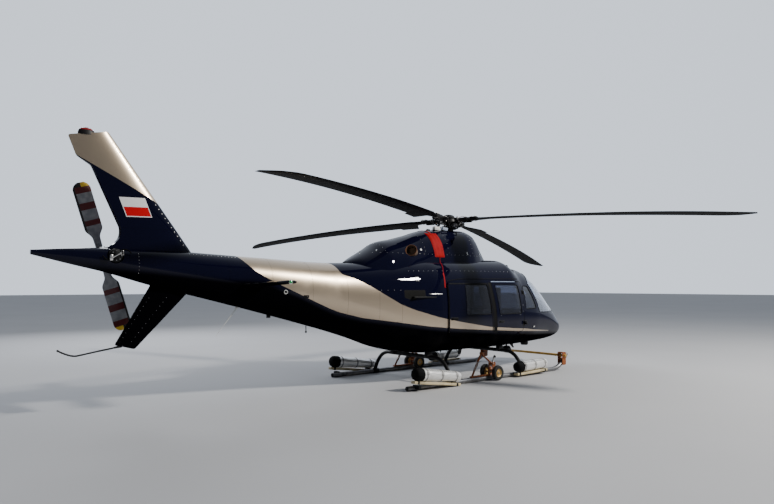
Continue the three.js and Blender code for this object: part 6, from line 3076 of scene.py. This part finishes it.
@dataclass
class BodyFittings(Assembly):
    """Antennas, lamps, steps, rails and rivets along the body."""

    boom_rivets: tuple[float, ...] = (-2.87, -3.51, -4.2, -4.9, -5.38, -5.98)

    def build_antennas(self) -> None:
        """The roof blade, the whip under the boom and the fittings behind it."""
        roof = Form().slab(
            rounded(in_metres(((1780, 2090), (1905, 2080), (1862, 2205), (1800, 2212))), 0.012, 4), -0.007,
            0.007,
        )
        roof.soften(0.003)
        roof.plate((1.842, 0, HULL.over(1.842, 0).z), (0.15, 0, 1), (1, 0, 0), (0.15, 0.045, 0.005))
        self.put(roof, "roof_antenna", "black", Slot.BLACK_METAL)
        whip = Form().rod((-4.61, 0, 1.45), (-4.64, 0, 1.395), 0.024, 0.014, 20, 0.003)
        whip.pipe(
            [Vector((-4.635, 0, 1.402)), Vector((-4.8, 0, 1.2)), Vector((-4.96, 0, 1.002))],
            (0.006, 0.004, 0.003), 10,
        )
        whip.plate((-4.6, 0, HULL.over(-4.6, 0, 0, False).z), (0, 0, -1), (1, 0, 0), (0.11, 0.06, 0.005))
        self.put(whip, "boom_whip_antenna", "white", Slot.BLADE_GREY)
        under = Form()
        bottom = HULL.over(-4.07, 0, 0, False).z
        under.box((-4.105, -0.01, bottom - 0.045), (-4.035, 0.01, bottom + 0.004), 0.005)
        under.rod(
            (-3.39, -0.05, HULL.over(-3.39, -0.05, 0, False).z + 0.004), (-3.39, -0.05, 1.0), 0.008, sides=12,
        )
        under.ball((-3.39, -0.05, 0.992), (0.018, 0.018, 0.018))
        for x, depth, chord in ((1.55, 0.12, 0.11), (0.35, 0.13, 0.12)):
            top = HULL.over(x, 0, 0, False).z + 0.004
            tip = HULL.over(x, 0, 0, False).z - depth
            outline = (
                (x - chord / 2, top), (x - chord * 0.45, tip), (x + chord * 0.1, tip), (x + chord / 2, top),
            )
            under.slab(rounded(outline, 0.012, 3), -0.006, 0.006)
        self.put(under, "belly_antennas", "black", Slot.BLACK_METAL)

    def build_belly(self) -> None:
        """The search lamp, the cable cutter, and the vents and drains under the floor."""
        form = Form()
        form.rod((1.38, -0.3, 0.43), (1.5, -0.3, 0.415), 0.072, 0.078, 32, 0.008)
        form.box((1.425, -0.312, 0.44), (1.455, -0.288, 0.52), 0.004)
        form.rod((1.499, -0.3, 0.415), (1.503, -0.3, 0.4145), 0.07, sides=32, finish=1)
        form.slab(
            rounded(((1.86, 0.512), (1.99, 0.512), (2.05, 0.4), (2.02, 0.395), (1.93, 0.47)), 0.006, 3),
            -0.008, 0.008,
        )
        for x, y in ((-0.62, -0.42), (-0.62, 0.42), (1.72, -0.24), (1.72, 0.24), (0.8, 0.3)):
            z = HULL.over(x, y, 0, False).z
            form.rod((x, y, z + 0.01), (x - 0.01, y, z - 0.028), 0.011, sides=14)
        for x in (-1.62, -1.5, -1.38):
            z = HULL.over(x, -0.2, 0, False).z
            form.box((x, -0.3, z - 0.01), (x + 0.07, -0.1, z + 0.02), 0.004)
        self.put(form, "belly_fittings", "black clear_lens", Slot.BLACK_METAL)

    def build_side(self, side: Side) -> None:
        """Steps, bars, tie-down, lamp and a near-black sheet of painted shade on one side of the body.

        Args:
            side: The side of the body.
        """
        form = Form()
        # Painted shade: a near-black sheet on the skin stands for the shade in a hollow aft of the door rail
        painted_shade_recess = (
            (-1.79, 1.545), (-1.665, 1.51), (-1.56, 1.51), (-1.56, 1.535), (-1.345, 1.57), (-1.345, 1.68),
            (-1.79, 1.68),
        )
        cutter = Form().slab(rounded(painted_shade_recess, 0.02, 4), side.sign * 0.3, side.sign * 1.5)
        form.add(HULL.shell(-1.85, -1.3, 0.001, -0.004).keep(cutter))
        form.paint_where(4, lambda f: True)
        for x in (-1.498, -1.455):
            form.plate(*HULL.at(x, 1.875, side), (0, 0, 1), (0.09, 0.012, 0.006), finish=1)
        points, normals = HULL.line(((-1.27, 1.607), (-0.96, 1.607)), 0.03, side)
        form.strip(points, normals, 0.018, 0.001, finish=1)
        ring, out = HULL.at(-3.986, 1.66, side)
        form.ring(ring, out, 0.028, 0.006, finish=2)
        form.rod(ring, ring + out * 0.004, 0.018, sides=20)
        eye, way = HULL.at(-3.63, 1.585, side)
        form.plate(eye, way, (1, 0, 0), (0.09, 0.045, 0.005))
        form.ring(eye + way * 0.016, (0, 0, 1), 0.015, 0.005)
        lamp, ahead = HULL.at(1.78, 0.905, side)
        form.rod(lamp - ahead * 0.004, lamp + ahead * 0.006, 0.026, sides=24, bevel=0.002)
        form.ball(lamp + ahead * 0.006, (0.02, 0.02, 0.02), finish=3)
        self.put(form, f"side_fittings_{side.label}", "black bright white clear_lens seal", Slot.BLACK_METAL)

    def build_rivets(self, side: Side) -> None:
        """Rows of rivet heads round the boom, along the roof and on the panels.

        Args:
            side: The side of the body.
        """
        form = Form()
        for x in self.boom_rivets:
            for k in (-0.018, 0.018):
                form.studs(girth(HULL, x + k, 0.055, 0.0, side), 0.0045, 0.0022)
        for z in (1.15, 1.64):
            form.studs(HULL.row(((-2.25, z), (-1.87, z)), 0.05, side), 0.005, 0.0024)
        roof = ((-1.6, 2.02), (-0.95, 2.03), (-0.1, 2.04), (1.05, 2.04))
        form.studs(HULL.row(roof, 0.115, side), 0.0065, 0.003, finish=1)
        form.studs(HULL.row(((-0.9, 0.66), (2.65, 0.66)), 0.09, side), 0.005, 0.0024)
        form.studs(girth(HULL, 2.7, 0.06, 0.6, side), 0.0045, 0.0022)
        form.studs(girth(HULL, 1.58, 0.08, 1.94, side), 0.006, 0.003, finish=1)
        form.studs(HULL.row(((-2.24, 1.68), (-1.86, 1.68)), 0.12, side), 0.007, 0.003, finish=1)
        form.studs(HULL.row(((2.02, 1.16), (2.95, 1.15)), 0.11, side), 0.0055, 0.003, finish=1)
        self.put(form, f"body_rivets_{side.label}", "body bright", Slot.BODY_PAINT)

    def build_landing_lamp(self) -> None:
        """The lamp under the nose."""
        lamp = Form().lathe(
            ((0, 0), (0.06, 0), (0.074, 0.006), (0.082, 0.02), (0.085, 0.05), (0.085, 0.1), (0, 0.1)),
            (2.42, 0, 0.436), (0, 0, 1), 40,
        )
        lamp.lathe(
            ((0, -0.004), (0.04, -0.003), (0.058, 0.001), (0, 0.001)), (2.42, 0, 0.437), (0, 0, 1), 32,
            finish=1,
        )
        self.put(lamp, "landing_lamp", "black clear_lens", Slot.BLACK_METAL, ("landing_light",))

    def build(self) -> None:
        """Builds the body's fittings."""
        self.build_antennas()
        self.build_belly()
        self.build_landing_lamp()
        for side in Side:
            self.build_side(side)
            self.build_rivets(side)


@dataclass
class TailFittings(Assembly):
    """Rivets, wicks and tip lamps of fins and stabilisers."""

    tip_y: float = 1.3
    stabiliser_x: float = -4.5

    def build_rivets(self, side: Side) -> None:
        """Heads along both fins, those on the upper fin's leading edge and the boom's crest matt white as
        painted glints.

        Args:
            side: The side of the body.
        """
        form = Form()
        # Painted highlight: the heads on the upper fin's leading edge and on the boom's crest are matt white
        # to stand for glints
        steps = [2.35 + 0.062 * k for k in range(23)]
        lead = [(UPPER_FIN.level(z)[0] - 0.065, z) for z in steps]
        form.studs([UPPER_FIN.at(x, z, side) for x, z in lead], 0.0095, 0.004, finish=2)
        crest = [(-5.45 + 0.055 * k, HULL.over(-5.45 + 0.055 * k, 0).z - 0.035) for k in range(14)]
        form.studs([HULL.at(x, z, side) for x, z in crest], 0.008, 0.004, finish=2)
        form.studs(UPPER_FIN.row(((-6.36, 2.345), (-5.6, 2.345)), 0.06, side), 0.0055, 0.003, finish=1)
        form.studs(HULL.row(((-6.19, 2.2), (-6.19, 1.93)), 0.045, side), 0.006, 0.003)
        form.studs(HULL.row(((-6.28, 2.24), (-6.0, 2.24)), 0.05, side), 0.005, 0.003, finish=1)
        for share in (0.12, 0.45, 0.85):
            for k in range(11):
                z = 0.99 + 0.06 * k
                edge, trail, _ = LOWER_FIN.level(z)
                x = edge + (trail - edge) * share
                form.stud(*LOWER_FIN.at(x, z, side), 0.0055, 0.003, 0 if share > 0.4 else 1)
        self.put(form, f"fin_rivets_{side.label}", "bright body white", Slot.BARE_STEEL)

    def build_tips(self, side: Side) -> None:
        """A lamp in its ring and wicks on one stabiliser.

        Args:
            side: The side of the body.
        """
        lift = 1.768 + math.tan(math.radians(2)) * self.tip_y
        tip = Vector((self.stabiliser_x + 0.045, side.sign * self.tip_y, lift))
        out = Vector((0, side.sign, 0))
        form = Form().ball(tip + out * 0.004, (0.034, 0.006, 0.02), finish=1)
        form.ring(tip, out, 0.03, 0.005, finish=2)
        for y in (0.55, 0.8, 1.05, 1.25):
            z = 1.768 + math.tan(math.radians(2)) * y
            foot = Vector((self.stabiliser_x - 0.186, side.sign * y, z))
            form.pipe(
                [foot, foot + Vector((-0.03, 0, 0)), foot + Vector((-0.095, 0, -0.004))],
                (0.004, 0.003, 0.0012), 8,
            )
        lens = "green_lens" if side is Side.RIGHT else "red_lens"
        self.put(form, f"stabiliser_fittings_{side.label}", f"black {lens} white", Slot.BLACK_METAL)

    def build(self) -> None:
        """Builds the tail's fittings."""
        for side in Side:
            self.build_rivets(side)
            self.build_tips(side)


@dataclass
class Studio:
    """Camera, floor and soft light."""

    position: tuple[float, float, float] = (-8.138, -9.161, 1.769)
    yaw: float = 50.0
    pitch: float = 2.93
    focal_pixels: float = 645.4
    image_width: float = 774.0

    def build_camera(self) -> None:
        """The camera at the photograph's viewing angle."""
        data = bpy.data.cameras.new("camera")
        data.sensor_width = 36.0
        data.lens = self.focal_pixels * data.sensor_width / self.image_width
        data.clip_end = 500
        camera = bpy.data.objects.new("camera", data)
        yaw, pitch = math.radians(self.yaw), math.radians(self.pitch)
        ahead = Vector((math.cos(yaw) * math.cos(pitch), math.sin(yaw) * math.cos(pitch), math.sin(pitch)))
        camera.location = self.position
        camera.rotation_euler = ahead.to_track_quat("-Z", "Y").to_euler()
        bpy.context.scene.collection.objects.link(camera)
        bpy.context.scene.camera = camera

    def build_floor(self) -> None:
        """A wide pale floor with a fine grain."""
        form = bmesh.new()
        bmesh.ops.create_grid(form, x_segments=2, y_segments=2, size=120)
        mesh = bpy.data.meshes.new("floor")
        form.to_mesh(mesh)
        form.free()
        g = Graph("pale_floor")
        cloud = g.noise(0.25, 3)
        pale = g.mix((0.36, 0.36, 0.37), (0.42, 0.42, 0.43), cloud)
        mesh.materials.append(g.finish(Base_Color=pale, Roughness=0.9))
        floor = bpy.data.objects.new("floor", mesh)
        floor.location.z = -0.001
        bpy.context.scene.collection.objects.link(floor)
        floor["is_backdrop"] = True

    def lamp(self, name: str, place: Point, aim: Point, size: float, power: float, colour: Point) -> None:
        """One square soft light that points at a place.

        Args:
            name: Its name.
            place: Where it stands.
            aim: Where it points.
            size: Length of its edge.
            power: Its power in watts.
            colour: Its colour.
        """
        data = bpy.data.lights.new(name, "AREA")
        data.size, data.energy, data.color = size, power, colour
        light = bpy.data.objects.new(name, data)
        light.location = place
        light.rotation_euler = (Vector(aim) - Vector(place)).to_track_quat("-Z", "Y").to_euler()
        bpy.context.scene.collection.objects.link(light)

    def build_light(self) -> None:
        """A soft key from starboard ahead and a sky that is bright behind the helicopter."""
        self.lamp("key", (8.5, -14.0, 13.0), (0, 0, 1.2), 1.6, 5400, (1.0, 0.97, 0.91))
        self.lamp("back", (-1.0, 14.0, 9.0), (-1, 0, 2.0), 7.0, 1500, (0.92, 0.95, 1.0))
        world = bpy.data.worlds.new("sky")
        world.use_nodes = True
        nodes, links = world.node_tree.nodes, world.node_tree.links
        where = nodes.new("ShaderNodeTexCoord")
        ahead = nodes.new("ShaderNodeVectorMath")
        ahead.operation = "DOT_PRODUCT"
        ahead.inputs[1].default_value = (0.62, 0.74, 0.1)
        ramp = nodes.new("ShaderNodeMapRange")
        ramp.interpolation_type = "SMOOTHSTEP"
        for index, value in enumerate((-0.25, 0.95, 0.13, 1.25), 1):
            ramp.inputs[index].default_value = value
        links.new(where.outputs["Generated"], ahead.inputs[0])
        links.new(ahead.outputs["Value"], ramp.inputs[0])
        links.new(ramp.outputs[0], nodes["Background"].inputs[1])
        nodes["Background"].inputs[0].default_value = (0.8, 0.88, 1.0, 1.0)
        bpy.context.scene.world = world

    def build(self) -> None:
        """Builds the studio."""
        self.build_camera()
        self.build_floor()
        self.build_light()


def corners(box: tuple[Vector, Vector]) -> list[list[float]]:
    """A box's two corners as plain lists."""
    return [list(corner) for corner in box]


def main() -> None:
    """Builds the helicopter on its frame."""
    logging.basicConfig(level=logging.INFO, format="%(name)s: %(message)s")
    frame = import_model()
    frame_box = corners(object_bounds())
    Studio().build()
    palette = Palette()
    Fuselage(palette).build()
    doors = Doors(palette)
    doors.build()
    UpperDeck(palette).build()
    Tail(palette).build()
    TailRotor(palette).build()
    Rotor(palette).build()
    LandingGear(palette).build()
    GroundGear(palette).build()
    Cabin(palette).build()
    DoorFittings(palette, doors.rest_slide).build()
    DeckFittings(palette).build()
    BodyFittings(palette).build()
    TailFittings(palette).build()
    engine = frame["nodes"]["engine_and_gearbox"]
    engine.data.materials.clear()
    engine.data.materials.append(palette.materials["alloy"])
    {"frame": frame_box, "looks": corners(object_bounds())}


if __name__ == "__main__":
    main()
